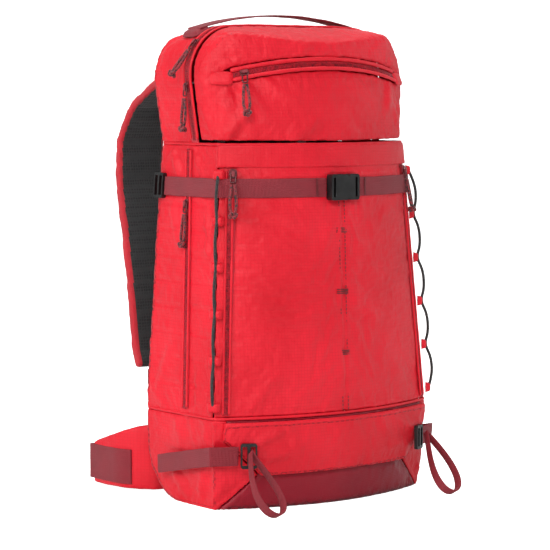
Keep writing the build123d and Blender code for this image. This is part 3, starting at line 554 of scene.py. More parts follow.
def surface_of(node):
    """Lookup for the first point of a CAD node's surface along a ray."""
    mesh = frame["nodes"][node].data
    faces = [tuple(face.vertices) for face in mesh.polygons]
    return BVHTree.FromPolygons([vertex.co for vertex in mesh.vertices], faces)


# ---- soft goods --------------------------------------------------------------------------------------
def core_direction(places):
    """Direction from the pack's upright core line to each point."""
    core = np.stack([np.zeros(len(places)), np.full(len(places), -0.01),
                     np.clip(places[:, 2], 0.08, 0.43)], axis=1)
    away = places - core
    return away / np.linalg.norm(away, axis=1)[:, None]


def seam_distance(places, facing):
    """How far each outward-facing point is from its panel's rim."""
    rim = np.nonzero(facing < 0.35)[0]
    tree = kdtree.KDTree(len(rim))
    for index, vertex in enumerate(rim):
        tree.insert(places[vertex], index)
    tree.balance()
    return np.array([tree.find(p)[2] for p in places])


FREE = 1.0            # room of a point with nothing over it, in metres
GUARD_REACH = 14 * MM  # how far over the cloth a strap is looked for
GUARD_BACK = 1.5 * MM  # the look starts this far inside the cloth
GUARD_SLOPE = 0.34    # how steeply the cloth may rise beside a strap


def room_under(places, normals, outer, guards):
    """How far each point may rise before it meets the webbing, zip or buckle that lies on the cloth."""
    room = np.full(len(places), FREE)
    trees = [surface_of(node) for node in guards]
    boxes = [np.array(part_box(node)) for node in guards]
    covered = []
    for index in np.nonzero(outer > 0)[0]:
        spot = places[index]
        for tree, (least, most) in zip(trees, boxes):
            if (spot < least - 0.012).any() or (spot > most + 0.012).any():
                continue
            start = Vector(spot - normals[index] * GUARD_BACK)
            met, _, _, away = tree.ray_cast(start, Vector(normals[index]), GUARD_REACH)
            if met:
                room[index] = min(room[index], away - GUARD_BACK)
        if room[index] < FREE:
            covered.append(index)
    if not covered:
        return room
    near = kdtree.KDTree(len(covered))
    for order, index in enumerate(covered):
        near.insert(places[index], order)
    near.balance()
    for index in np.nonzero(outer > 0)[0]:
        _, order, away = near.find(places[index])
        if away < 0.03:
            slope = GUARD_SLOPE * max(away - 1.0 * MM, 0.0)
            room[index] = min(room[index], room[covered[order]] + slope)
    return room


def fbm(places, per_metre, seed, stretch=(1, 1, 1)):
    """Even-handed noise from -1 to 1 at each point."""
    shift = Vector((seed * 7.3, seed * 3.1, seed * 5.7))
    scale = Vector(stretch) * per_metre
    return np.array([noise.fractal(Vector(p) * scale + shift, 0.9, 2.0, 3) for p in places])


def inflate(piece, held, pressure, cap, grow, frames=8):
    """Blow the cloth up between its held points, and keep every point within cap of its place."""
    start = points_of(piece)
    group = piece.vertex_groups.new(name="sewn")
    for index in np.nonzero(held)[0]:
        group.add([int(index)], 1.0, "REPLACE")
    only(piece)
    cloth = piece.modifiers.new("Cloth", "CLOTH")
    cloth.settings.quality = 3
    cloth.settings.mass = 0.3
    cloth.settings.vertex_group_mass = "sewn"
    cloth.settings.use_pressure = True
    cloth.settings.uniform_pressure_force = pressure
    cloth.settings.effector_weights.gravity = 0.0
    cloth.settings.shrink_min = -grow
    cloth.settings.bending_stiffness = 0.25
    cloth.point_cache.frame_start = 1
    cloth.point_cache.frame_end = frames
    for step in range(1, frames + 1):
        bpy.context.scene.frame_set(step)
    bpy.ops.object.modifier_apply(modifier=cloth.name)
    bpy.context.scene.frame_set(1)
    piece.vertex_groups.clear()
    move = points_of(piece) - start
    length = np.linalg.norm(move, axis=1)[:, None]
    move *= np.minimum(1.0, cap / np.maximum(length, 1e-9))
    return start, move


def sewn_panel(name, node, body, slot_name, material, voxel=2.0, crown=2.5, wrinkle=0.9, grow=0.015,
               pressure=5.0, out=None, seed=1.0, shape=None, cap=4.5, guards=(), soften=16):
    """A fabric panel over its CAD solid: full between its seams, drawn in along them."""
    piece = cad_copy(name, node)
    apply(piece, "REMESH", mode="VOXEL", voxel_size=voxel * MM)
    apply(piece, "SMOOTH", iterations=4, factor=0.5)
    places, normals = points_of(piece), normals_of(piece)
    direction = core_direction(places) if out is None else np.tile(np.array(out, float), (len(places), 1))
    facing = np.sum(normals * direction, axis=1)
    away = seam_distance(places, facing)
    outer = (facing > 0.35).astype(float)
    soft = piece.vertex_groups.new(name="soft")
    for index in np.nonzero((outer > 0) & (away > 5 * MM))[0]:
        soft.add([int(index)], 1.0, "REPLACE")
    apply(piece, "SMOOTH", iterations=soften, factor=0.5, vertex_group="soft")
    piece.vertex_groups.clear()
    places, normals = points_of(piece), normals_of(piece)
    lift = np.zeros(len(places))
    if pressure:
        held = (outer < 0.5) | (away < 2.2 * MM)
        start, move = inflate(piece, held, pressure, cap * MM, grow)
        lift = np.clip(np.sum(move * normals, axis=1), -1.0 * MM, cap * MM)
        places = start
    rise = 1 - np.exp(-away / (14 * MM))
    folds = fbm(places, 26, seed, (1.0, 1.0, 0.55)) * 0.6 + fbm(places, 60, seed + 4, (1.0, 1.0, 0.7)) * 0.35
    pucker = fbm(places, 130, seed + 9) * np.exp(-away / (9 * MM)) * 0.55
    drawn_in = 0.7 * np.exp(-away / (1.6 * MM))
    shift = lift + (crown * rise + wrinkle * rise * folds + wrinkle * pucker - drawn_in) * MM
    if shape:
        shift = shift + shape(places) * MM
    shift = np.minimum(shift, room_under(places, normals, outer, guards) - 0.15 * MM)
    set_points(piece, places + normals * (shift * outer)[:, None])
    mark_seam(piece, np.where(outer > 0, away, 1.0))
    box_map(piece)
    smooth(piece, 70)
    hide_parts(node)
    return finish(piece, body, slot_name, material)


STRAPS = ("front_strap_left", "front_strap_right", "front_buckle_female", "front_buckle_male")
GUARDS = {
    "front": (*STRAPS, "front_zips", "storm_flap"),
    "side_left": ("side_straps", "side_zip", "side_ladder_locks", "storm_flap", "side_slider"),
    "side_right": ("side_straps", "side_ladder_locks", "storm_flap"),
    "low": ("lower_straps", "lower_ladder_locks", "pocket_flap"),
    "base": ("pocket_flap", "lower_ladder_locks"),
}


# Folds on each panel: from and to in millimetres of its across axis and of height, then width and height.
FOLDS = {
    "front": (((-100, 318), (-40, 290), 7.0, 1.5), ((100, 318), (36, 286), 7.0, 1.5),
              ((-8, 214), (-60, 190), 6.0, 1.2), ((6, 216), (56, 186), 6.0, 1.2),
              ((-112, 104), (-70, 150), 8.0, 1.6), ((116, 104), (66, 144), 8.0, 1.6),
              ((4, 280), (44, 262), 6.0, 1.0), ((-6, 156), (-40, 128), 6.0, 1.2)),
    "lid": (((-104, 446), (-72, 398), 5.0, 2.6), ((-96, 440), (-96, 388), 5.0, 2.2),
            ((-84, 446), (-30, 408), 6.0, 1.6), ((-118, 380), (-96, 414), 5.0, 2.2),
            ((-58, 380), (-20, 404), 6.0, 1.8), ((100, 444), (74, 400), 6.0, 2.2),
            ((112, 382), (92, 418), 5.0, 2.0), ((30, 380), (6, 398), 6.0, 1.2)),
    "side": (((-30, 374), (-46, 100), 4.5, 2.2), ((56, 372), (34, 336), 5.0, 2.2),
             ((20, 374), (-4, 344), 4.5, 2.0), ((50, 318), (30, 262), 6.0, 1.8),
             ((-14, 316), (-22, 252), 4.0, 1.6), ((60, 110), (30, 176), 7.0, 2.0),
             ((-20, 104), (-14, 150), 5.0, 1.6)),
    "low_side": (((-36, 92), (-30, 66), 5.0, 2.0), ((20, 92), (10, 60), 7.0, 2.0),
                 ((-28, 44), (-14, 6), 5.0, 2.4), ((30, 34), (2, 6), 6.0, 2.2),
                 ((-46, 50), (-44, 8), 4.0, 1.8)),
    "flap": (((-112, 66), (-66, 88), 5.0, 1.8), ((-106, 52), (-60, 60), 5.0, 1.6),
             ((-72, 92), (-58, 58), 5.0, 1.8), ((112, 66), (64, 86), 5.0, 1.8),
             ((106, 50), (58, 58), 5.0, 1.6), ((-20, 90), (-8, 70), 6.0, 1.2),
             ((48, 90), (60, 66), 6.0, 1.4), ((10, 40), (24, 54), 6.0, 1.0)),
}


def fold(x, z, start, end, width, height):
    """A soft ridge from start to end, in millimetres, that fades out at both ends."""
    (ax, az), (bx, bz) = (np.array(start) * MM, np.array(end) * MM)
    length = math.hypot(bx - ax, bz - az)
    ux, uz = (bx - ax) / length, (bz - az) / length
    along = ((x - ax) * ux + (z - az) * uz) / length
    across = ((x - ax) * uz - (z - az) * ux) / (width * MM)
    fade = np.clip(along * 5, 0, 1) * np.clip((1 - along) * 3, 0, 1)
    return height * fade * (np.exp(-across ** 2) - 0.7 * np.exp(-(across - 1.7) ** 2))


def folds_on(panel, places, axis=0):
    """All the folds of one panel, whose across axis is x (0) or y (1)."""
    return sum(fold(places[:, axis], places[:, 2], *each) for each in FOLDS[panel])


def centre_seam(places):
    """The front's middle seam, a groove with the fabric rolled up on its left, and the front's folds."""
    x = places[:, 0]
    groove = -1.6 * np.exp(-(x / (2.0 * MM)) ** 2)
    ridge = 0.7 * np.exp(-((x + 5 * MM) / (4 * MM)) ** 2)
    return groove + ridge + folds_on("front", places)


def lid_creases(places):
    """Folds below the goggle zip's ends and along the lid's lower seam."""
    return np.where(places[:, 1] < -0.02, folds_on("lid", places), 0.0)


def side_creases(places):
    """A long pleat ahead of the zip and short folds under the strap."""
    return folds_on("side", places, 1)


def low_side_creases(places):
    """Folds pulled towards the lower strap and the base's rounding."""
    return folds_on("low_side", places, 1)


def flap_creases(places):
    """Shallow diagonal folds pulled towards the two lower straps."""
    return folds_on("flap", places)


def padded_piece(name, node, body, slot_name, materials, voxel=3.0, cap=4.0, pressure=4.0,
                 paint=None):
    """A foam-filled piece blown up from its CAD solid and smoothed once."""
    piece = cad_copy(name, node)
    apply(piece, "REMESH", mode="VOXEL", voxel_size=voxel * MM)
    apply(piece, "SMOOTH", iterations=6, factor=0.5)
    start, move = inflate(piece, np.zeros(len(piece.data.vertices), bool), pressure, cap * MM, 0.0)
    set_points(piece, start + move)
    apply(piece, "SMOOTH", iterations=2, factor=0.5)
    apply(piece, "SUBSURF", levels=1, render_levels=1)
    places, normals = points_of(piece), normals_of(piece)
    ripple = fbm(places, 45, 3.0) * 0.5 * MM
    set_points(piece, places + normals * ripple[:, None])
    no_seam(piece)
    box_map(piece)
    smooth(piece, 80)
    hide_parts(node)
    finish(piece, body, slot_name, *materials)
    if paint:
        paint(piece)
    return piece


def paint_faces(piece, choose):
    """Set each face's material slot from its middle and normal."""
    for face in piece.data.polygons:
        face.material_index = choose(face.center, face.normal)


BINDING_W = 4.5 * MM


def shoulder_faces(piece):
    """Mesh on the inner side, red cloth outside, binding along both edges."""
    places = points_of(piece)
    step = 8 * MM
    lowest = places[:, 2].min()
    count = int((places[:, 2].max() - lowest) / step) + 2
    least, most = np.full(count, np.inf), np.full(count, -np.inf)
    for x, _, z in places:
        level = int((z - lowest) / step)
        least[level], most[level] = min(least[level], x), max(most[level], x)

    def choose(centre, normal):
        at_level = (centre.z - lowest) / step - 0.5
        levels = np.arange(count)
        inner, outer = np.interp(at_level, levels, least), np.interp(at_level, levels, most)
        if min(centre.x - inner, outer - centre.x) < BINDING_W:
            return 2
        return 1 if normal.y < 0.15 or normal.z < -0.5 else 0

    paint_faces(piece, choose)


def wing_faces(piece):
    """Mesh on the wing's inner side."""
    sign = 1 if "right" in piece.name else -1
    paint_faces(piece, lambda c, n: 1 if n.x * sign < -0.3 or (abs(n.x) < 0.3 and n.y > 0.4) else 0)


# ---- webbing -----------------------------------------------------------------------------------------
def strap(name, node, body, turned=False, voxel=0.8, material="webbing", slot_name="dark_red_webbing"):
    """Webbing over its CAD solid, with rounded selvedges and a little wave along it."""
    piece = cad_copy(name, node)
    apply(piece, "REMESH", mode="VOXEL", voxel_size=voxel * MM)
    apply(piece, "SMOOTH", iterations=3, factor=0.5)
    places, normals = points_of(piece), normals_of(piece)
    set_points(piece, places + normals * (fbm(places, 40, 2.0) * 0.3 * MM)[:, None])
    box_map(piece, turned)
    smooth(piece, 60)
    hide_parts(node)
    return finish(piece, body, slot_name, FINISHES[material])


# ---- zips --------------------------------------------------------------------------------------------
def walk(spots, pitch):
    """Points pitch apart along a chain of (point, normal)."""
    result, left = [], 0.0
    for (a, n), (b, _) in zip(spots, spots[1:]):
        span = (b - a).length
        while left < span:
            result.append((a.lerp(b, left / span), n, (b - a).normalized()))
            left += pitch
        left -= span
    return result


COIL_TURN = ((-0.55, 0.0, 0.5), (-0.35, 0.75, 0.42), (0.35, 0.75, 0.42), (0.55, 0.0, 0.5))


def zip_teeth(name, spots, body, pitch=1.7 * MM, width=4.6 * MM):
    """Coil turns along a zip, each a low rounded bar that leans to its own side."""
    verts, faces = [], []
    for index, (middle, normal, along) in enumerate(walk(spots, pitch)):
        across = normal.cross(along).normalized()
        shift = across * (0.35 * MM if index % 2 else -0.35 * MM)
        base = len(verts)
        for run, rise, half in COIL_TURN:
            for sign in (-1, 1):
                spot = middle + shift + along * run * MM + normal * (rise + 0.1) * MM
                verts.append(spot + across * sign * half * width)
        faces += [(base + 2 * i, base + 2 * i + 1, base + 2 * i + 3, base + 2 * i + 2) for i in range(3)]
        faces += [(base, base + 2, base + 4, base + 6), (base + 7, base + 5, base + 3, base + 1),
                  (base + 6, base + 7, base + 1, base)]
    piece = new_mesh(name, verts, faces)
    face_out(piece)
    smooth(piece, 50)
    return finish(piece, body, "zip_tape", FINISHES["coil"])


def roll(name, spots, body, offset, radius=1.3 * MM, rise=0.4 * MM, material="shell"):
    """A folded edge of cloth beside a zip: a soft tube along its path, offset to one side."""
    chain = walk(spots, 5 * MM)
    verts, faces = [], []
    sides = 8
    for index, (middle, normal, along) in enumerate(chain):
        across = normal.cross(along).normalized()
        heart = middle + across * offset + normal * rise
        wave = 1 + 0.10 * math.sin(index * 1.9) + 0.06 * math.sin(index * 0.7)
        for k in range(sides):
            turn = 2 * math.pi * k / sides
            verts.append(heart + (across * math.cos(turn) * 1.25 + normal * math.sin(turn)) * radius * wave)
    for ring in range(len(chain) - 1):
        for k in range(sides):
            a, b = ring * sides + k, ring * sides + (k + 1) % sides
            faces.append((a, b, b + sides, a + sides))
    faces += [tuple(range(sides))[::-1], tuple(range((len(chain) - 1) * sides, len(chain) * sides))]
    piece = new_mesh(name, verts, faces)
    face_out(piece)
    apply(piece, "SUBSURF", levels=1, render_levels=1)
    no_seam(piece)
    box_map(piece)
    smooth(piece, 80)
    return finish(piece, body, "red_shell", FINISHES[material])


def hits(node, rays):
    """Surface points and normals where rays from outside meet a CAD node."""
    tree = surface_of(node)
    found = []
    for start, ahead in rays:
        spot, normal, _, _ = tree.ray_cast(start, ahead)
        if spot:
            found.append((spot, normal if normal.dot(ahead) < 0 else -normal))
    return found


MOUTH_MIDDLE_Z = 435 * MM
OUTSIDE = 0.4    # a ray starts this far out, in metres


def spread(first, last, count):
    """Values from first to last, count steps apart."""
    return [first + (last - first) * index / count for index in range(count + 1)]


def zip_tape(node, body, turned=False, voxel=0.8, name=None):
    """The woven tape of a zip."""
    strap(name or f"{node}_tape", node, body, turned, voxel, "tape", "zip_tape")


def make_main_zip():
    """The zip round the pack's mouth, between two folds of cloth."""
    low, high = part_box("main_zip")
    middle = Vector((0, (low.y + high.y) / 2, MOUTH_MIDDLE_Z))
    below_level = math.atan2(middle.z - low.z, high.x)
    rays = []
    for angle in spread(math.pi + below_level, -below_level, 240):
        ahead = Vector((math.cos(angle), 0, math.sin(angle)))
        rays.append((middle + ahead * OUTSIDE, -ahead))
    zip_tape("main_zip", "pack", voxel=0.9)
    path = hits("main_zip", rays)
    zip_teeth("main_zip_coil", path, "pack")
    roll("main_zip_fold_back", path, "pack", 5.6 * MM, rise=0.2 * MM)
    roll("main_zip_fold_front", path, "pack", -6.1 * MM, 1.5 * MM, 0.0)


GOGGLE_ZIP_HALF = math.radians(28.6)    # the curved zip spans this much on each side of its middle


def make_goggle_zip():
    """The curved zip on the lid, under its rolled cloth edges."""
    joint = JOINTS["goggle_zip_slide"]
    centre, axis = Vector(joint["pos_m"]), Vector(joint["axis"]).normalized()
    forward = Vector((1, 0, 0)).cross(axis)
    forward = forward if forward.y < 0 else -forward
    rays = []
    for angle in spread(-GOGGLE_ZIP_HALF, GOGGLE_ZIP_HALF, 120):
        ahead = forward * math.cos(angle) + Vector((1, 0, 0)) * math.sin(angle)
        rays.append((centre + ahead * 0.6, -ahead))
    zip_tape("goggle_zip", "lid", voxel=0.7)
    path = hits("goggle_zip", rays)
    zip_teeth("goggle_zip_coil", path, "lid")
    roll("goggle_zip_fold_upper", path, "lid", 5.4 * MM, 2.0 * MM, 1.6 * MM)
    roll("goggle_zip_fold_lower", path, "lid", -5.4 * MM, 1.8 * MM, 1.4 * MM)


SIDE_ZIP_HALF = 6.0 * MM       # half width of a tape, in from its box
FRONT_ZIP_HALF = 4.0 * MM
FRONT_ZIP_SLANT = 16.5 * MM    # how far a front zip runs out between its top and its foot


def make_side_zip():
    """The left side's sloping zip, between two welts."""
    low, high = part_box("side_zip")
    ys = spread(high.y - SIDE_ZIP_HALF, low.y + SIDE_ZIP_HALF, 90)
    rays = [(Vector((-OUTSIDE, y, z)), Vector((1, 0, 0))) for y, z in zip(ys, spread(high.z, low.z, 90))]
    zip_tape("side_zip", "pack", turned=True)
    path = hits("side_zip", rays)
    zip_teeth("side_zip_coil", path, "pack")
    for side, offset in (("front", 3.9 * MM), ("back", -3.9 * MM)):
        roll(f"side_zip_fold_{side}", path, "pack", offset, 1.2 * MM, 0.35 * MM)


def make_front_zips():
    """The two long zips of the front pockets."""
    low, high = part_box("front_zips")
    zip_tape("front_zips", "pack", turned=True, name="front_zip_tapes")
    outer = high.x - FRONT_ZIP_HALF
    across = list(zip(spread(outer, outer - FRONT_ZIP_SLANT, 90), spread(low.z, high.z, 90)))
    for sign, end in ((-1, "left"), (1, "right")):
        rays = [(Vector((sign * x, -OUTSIDE, z)), Vector((0, 1, 0))) for x, z in across]
        path = hits("front_zips", rays)
        zip_teeth(f"front_zip_coil_{end}", path, "pack")
        for side, offset in (("inner", 3.3 * MM), ("outer", -3.3 * MM)):
            roll(f"front_zip_fold_{end}_{side}", path, "pack", offset, 1.2 * MM, 0.35 * MM)


# ---- stitching and lacing ----------------------------------------------------------------------------
def dash_row(name, spots, body, length=2.6 * MM, gap=1.4 * MM, thick=0.45 * MM):
    """A row of raised topstitches along a chain of points."""
    verts, faces = [], []
    for middle, normal, along in walk(spots, length + gap):
        across = normal.cross(along).normalized()
        base = len(verts)
        for run, rise in ((-0.5, 0.1), (-0.25, 0.55), (0.25, 0.55), (0.5, 0.1)):
            for sign in (-1, 1):
                verts.append(middle + along * run * length + normal * rise * MM + across * sign * thick)
        faces += [(base + 2 * i, base + 2 * i + 2, base + 2 * i + 3, base + 2 * i + 1) for i in range(3)]
    piece = new_mesh(name, verts, faces)
    apply(piece, "SOLIDIFY", thickness=0.3 * MM, offset=-1)
    smooth(piece, 80)
    box_map(piece)
    return finish(piece, body, "zip_tape", FINISHES["thread"])


def bar_tack(name, centre, normal, width, height, body):
    """A dense block of stitches that holds two layers together."""
    across = Vector((0, 0, 1)).cross(normal).normalized()
    rows = max(2, round(height / (1.3 * MM)))
    verts, faces = [], []
    for row in range(rows):
        level = (row / (rows - 1) - 0.5) * height
        slant = 0.3 * MM if row % 2 else -0.3 * MM
        base = len(verts)
        for run, rise in ((-0.5, 0.0), (-0.45, 0.8), (0.45, 0.8), (0.5, 0.0)):
            for sign in (-1, 1):
                verts.append(centre + across * run * width + normal * rise * MM +
                             Vector((0, 0, level + sign * 0.55 * MM + slant * run)))
        faces += [(base + 2 * i, base + 2 * i + 2, base + 2 * i + 3, base + 2 * i + 1) for i in range(3)]
    piece = new_mesh(name, verts, faces)
    apply(piece, "SOLIDIFY", thickness=0.6 * MM, offset=-1)
    smooth(piece, 60)
    box_map(piece)
    return finish(piece, body, "zip_tape", FINISHES["thread"])


def patch(name, centre, normal, along, length, width, body, thick, material="shell", slot_name="red_shell"):
    """A small sewn patch: a rounded pad with turned-in edges."""
    across = normal.cross(along).normalized()
    rings, spokes = 5, 28
    verts = []
    for ring in range(rings + 1):
        reach = ring / rings
        for k in range(spokes):
            turn = 2 * math.pi * k / spokes
            c, s = math.cos(turn), math.sin(turn)
            square = 1 / (abs(c) ** 5 + abs(s) ** 5) ** 0.2
            height = thick * (1 - reach ** 4) ** 0.5 + 0.15 * MM * math.sin(5 * turn) * reach
            spot = centre + along * c * square * reach * length / 2 + across * s * square * reach * width / 2
            verts.append(spot + normal * height)
    faces = [(r * spokes + k, r * spokes + (k + 1) % spokes, (r + 1) * spokes + (k + 1) % spokes,
              (r + 1) * spokes + k) for r in range(1, rings) for k in range(spokes)]
    faces += [tuple(spokes + k for k in range(spokes)), tuple(rings * spokes + k for k in range(spokes))]
    piece = new_mesh(name, verts, faces)
    face_out(piece, loose=True)
    no_seam(piece)
    box_map(piece)
    smooth(piece, 60)
    return finish(piece, body, slot_name, FINISHES[material])


def ribbon(name, chain, body, width, thick, node):
    """Flat webbing along a closed chain of (point, width direction)."""
    count = len(chain)
    verts = []
    for index, (spot, wide) in enumerate(chain):
        ahead = (chain[(index + 1) % count][0] - chain[index - 1][0]).normalized()
        out = ahead.cross(wide).normalized()
        for a, b in ((-0.5, -0.3), (-0.42, -0.5), (0.42, -0.5), (0.5, -0.3), (0.5, 0.3), (0.42, 0.5),
                     (-0.42, 0.5), (-0.5, 0.3)):
            verts.append(spot + wide * a * width + out * b * thick)
    faces = []
    for ring in range(count):
        following = (ring + 1) % count
        for k in range(8):
            after = (k + 1) % 8
            faces.append((ring * 8 + k, ring * 8 + after, following * 8 + after, following * 8 + k))
    piece = new_mesh(name, verts, faces)
    face_out(piece)
    box_map(piece, True)
    smooth(piece, 50)
    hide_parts(node)
    return finish(piece, body, "dark_red_webbing", FINISHES["webbing"])


LOOP_LEAN = math.radians(38.0)
LOOP_DROP = 74.5         # millimetres from the lock to the loop's tip
LOOP_HALF = 19.375       # and across the loop's widest place, from its middle
LOOP_CROSS = 2.2         # the two legs pass each other by this at the lock
LOOP_TWIST = 0.55
LOOP_STEPS = 72


def make_gear_loops():
    """Narrow webbing loops that pinch together at their locks and turn over at their tips."""
    down = Vector((0, -math.sin(LOOP_LEAN), -math.cos(LOOP_LEAN)))
    out = Vector((0, -math.cos(LOOP_LEAN), math.sin(LOOP_LEAN)))
    for sign, end in ((-1, "left"), (1, "right")):
        pivot = Vector(JOINTS[f"gear_loop_{end}_swing"]["pos_m"])
        chain = []
        for index in range(LOOP_STEPS):
            turn = 2 * math.pi * index / LOOP_STEPS
            half = LOOP_HALF * math.sin(turn) * abs(math.sin(turn / 2)) ** 1.3
            drop = LOOP_DROP * (1 - math.cos(turn)) / 2 + 1.0
            cross = LOOP_CROSS * math.cos(turn / 2) * math.sin(turn)
            spot = pivot + (Vector((1, 0, 0)) * (half + cross * sign) + down * drop) * MM
            twist = LOOP_TWIST * math.sin(turn / 2) ** 6
            wide = (out * math.cos(twist) + Vector((1, 0, 0)) * math.sin(twist)).normalized()
            chain.append((spot, wide))
        ribbon(f"gear_loop_webbing_{end}", chain, f"loop_{end}", 8.6 * MM, 1.7 * MM, f"gear_loop_{end}")


BODY_PANELS = ("front_panel", "side_panel_left", "side_panel_right")


def ring_path(level):
    """Points round the body at one height, from the back's left corner over the front to its right."""
    trees = [surface_of(node) for node in BODY_PANELS]
    heart = Vector((0, 0.02, level))
    found = []
    for degrees in spread(152, 388, 160):
        turn = math.radians(degrees)
        ahead = Vector((math.cos(turn), math.sin(turn), 0))
        best = None
        for tree in trees:
            spot, normal, _, away = tree.ray_cast(heart + ahead * OUTSIDE, -ahead)
            if spot and (best is None or away < best[2]):
                best = (spot, normal if normal.dot(ahead) > 0 else -normal, away)
        if best and best[2] < OUTSIDE:
            found.append(best[:2])
    return found


def seam_rolls():
    """Bound seams under the lid and above the base."""
    for name, cut, seam, radius, rise in (("upper", 375.5, 376.8, 1.25, 0.3),
                                          ("lower", 97.5, 95.8, 1.35, 0.2)):
        path = [(Vector((spot.x, spot.y, seam * MM)), normal) for spot, normal in ring_path(cut * MM)]
        roll(f"{name}_seam_binding", path, "pack", 0.0, radius * MM, rise * MM)


STRAP_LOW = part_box("front_strap_left")[0].z
LACE_TABS = 6
LACE_D = 3.2 * MM
TOP_TAB, LOW_TAB = 346.0, 108.0      # heights of the first and the last tab, in millimetres
TAB_OUT = Vector((0.78, -0.62, 0))   # straight out of the right front edge
# The front edge at its foot and at its head, in millimetres: height, half width, depth ahead of the back.
EDGE_FOOT, EDGE_HEAD, BACK_Y = (96.0, 142.0, 123.5), (377.0, 121.0, 106.0), 75.0


def edge_spot(level, proud, sign):
    """A point proud millimetres outside the front edge at a height in millimetres."""
    share = min(max((level - EDGE_FOOT[0]) / (EDGE_HEAD[0] - EDGE_FOOT[0]), 0), 1)
    half = EDGE_FOOT[1] + (EDGE_HEAD[1] - EDGE_FOOT[1]) * share
    depth = EDGE_FOOT[2] + (EDGE_HEAD[2] - EDGE_FOOT[2]) * share
    return Vector((sign * (half + TAB_OUT.x * proud), BACK_Y - depth + TAB_OUT.y * proud, level)) * MM


def make_laces():
    """The black cord laced down both front edges, and the fabric tabs that hold it."""
    step = (TOP_TAB - LOW_TAB) / (LACE_TABS - 1)
    for sign, end in ((-1, "left"), (1, "right")):
        out = Vector((sign * TAB_OUT.x, TAB_OUT.y, 0))
        route = []
        for index in range(LACE_TABS):
            level = TOP_TAB - index * step
            route.append(edge_spot(level, 5.0, sign))
            if index < LACE_TABS - 1:
                route.append(edge_spot(level - step * 0.3, 11.0, sign))
                route.append(edge_spot(level - step * 0.72, 10.5, sign))
            patch(f"lace_tab_{end}_{index + 1}", edge_spot(level, 1.6, sign), out, Vector((0, 0, 1)),
                  11 * MM, 14 * MM, "pack", 5.6 * MM)
        lace = nurbs(f"edge_lace_{end}", route, LACE_D, 6)
        finish(lace, "pack", "black_cord", FINISHES["lace"])
        if end == "left":
            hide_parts("edge_laces")


# ---- the pack's pieces -------------------------------------------------------------------------------
class PackSettings(bpy.types.PropertyGroup):
    """Colours of the pack's cloth, as sRGB hex codes."""
    shell: bpy.props.StringProperty(name="Shell", description="Colour of the ripstop", default="#EE1A30")
    webbing: bpy.props.StringProperty(name="Webbing", description="Colour of the webbing", default="#97182A")
    base: bpy.props.StringProperty(name="Base", description="Colour of the base cloth", default="#A00824")


class SewShell(bpy.types.Operator):
    """Sew the red panels of the body"""
    bl_idname = "backpack.shell"
    bl_label = "Shell panels"

    def execute(self, context):
        red = FINISHES["shell"]
        for name, node, choices in (
                ("front_pocket_panel", "front_panel",
                 dict(seed=1, wrinkle=1.4, shape=centre_seam, guards=GUARDS["front"])),
                ("side_panel_cloth_left", "side_panel_left",
                 dict(seed=2, crown=3.0, wrinkle=1.6, shape=side_creases, guards=GUARDS["side_left"])),
                ("side_panel_cloth_right", "side_panel_right",
                 dict(seed=3, crown=3.0, wrinkle=1.6, shape=side_creases, guards=GUARDS["side_right"])),
                ("lower_side_cloth", "lower_side_panels",
                 dict(seed=4, wrinkle=1.4, shape=low_side_creases, guards=GUARDS["low"])),
                ("pocket_flap_cloth", "pocket_flap",
                 dict(seed=5, crown=1.2, cap=3.0, shape=flap_creases)),
                ("storm_flap_cloth", "storm_flap",
                 dict(seed=6, crown=0.3, wrinkle=0.5, voxel=1.2, pressure=0.0)),
                ("top_yoke_cloth", "top_yoke", dict(seed=7, wrinkle=1.5, soften=40))):
            sewn_panel(name, node, "pack", "red_shell", red, **choices)
        lid = sewn_panel("lid_cloth", "lid_shell", None, "red_shell", red, seed=8, wrinkle=1.5, soften=70,
                         shape=lid_creases)
        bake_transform(lid)
        return {"FINISHED"}


class SewBase(bpy.types.Operator):
    """Sew the heavier base and the back pad"""
    bl_idname = "backpack.base"
    bl_label = "Base and back"

    def execute(self, context):
        sewn_panel("base_cloth", "base_panel", "pack", "maroon_base", FINISHES["base"], seed=11, crown=1.0,
                   cap=2.0, guards=GUARDS["base"])
        pad = sewn_panel("back_pad_mesh", "back_panel", "pack", "black_mesh", FINISHES["lining"], voxel=3.0,
                         crown=2.0, wrinkle=0.4, out=(0, 1, 0), pressure=0.0, seed=12)
        return {"FINISHED"}


class SewHarness(bpy.types.Operator):
    """Pad the shoulder straps and the hip wings"""
    bl_idname = "backpack.harness"
    bl_label = "Harness"

    def execute(self, context):
        cloth = [FINISHES["shell"], FINISHES["lining"], FINISHES["binding"]]
        for end in ("left", "right"):
            padded_piece(f"shoulder_pad_{end}", f"shoulder_strap_{end}", "harness", "red_shell", cloth,
                         paint=shoulder_faces, cap=1.5, voxel=2.6)
            padded_piece(f"hip_pad_{end}", f"hip_wing_{end}", f"hip_{end}", "red_shell", cloth,
                         paint=wing_faces, cap=1.5, voxel=2.6)
        return {"FINISHED"}


class CutWebbing(bpy.types.Operator):
    """Cut and sew the webbing straps"""
    bl_idname = "backpack.webbing"
    bl_label = "Webbing"

    def execute(self, context):
        for name, node, body, turned in (
                ("front_webbing_left", "front_strap_left", "pack", False),
                ("front_webbing_right", "front_strap_right", "pack", False),
                ("side_webbings", "side_straps", "pack", False),
                ("lower_webbings", "lower_straps", "pack", False),
                ("haul_handle_webbing", "haul_handle", "handle", False),
                ("shoulder_webbing", "shoulder_webbings", "pack", True),
                ("sternum_webbing", "sternum_strap", "sternum", False),
                ("hip_belt_webbing_left", "hip_webbing_left", "hip_left", False),
                ("hip_belt_webbing_right", "hip_webbing_right", "hip_right", False)):
            strap(name, node, body, turned)
        make_gear_loops()
        return {"FINISHED"}


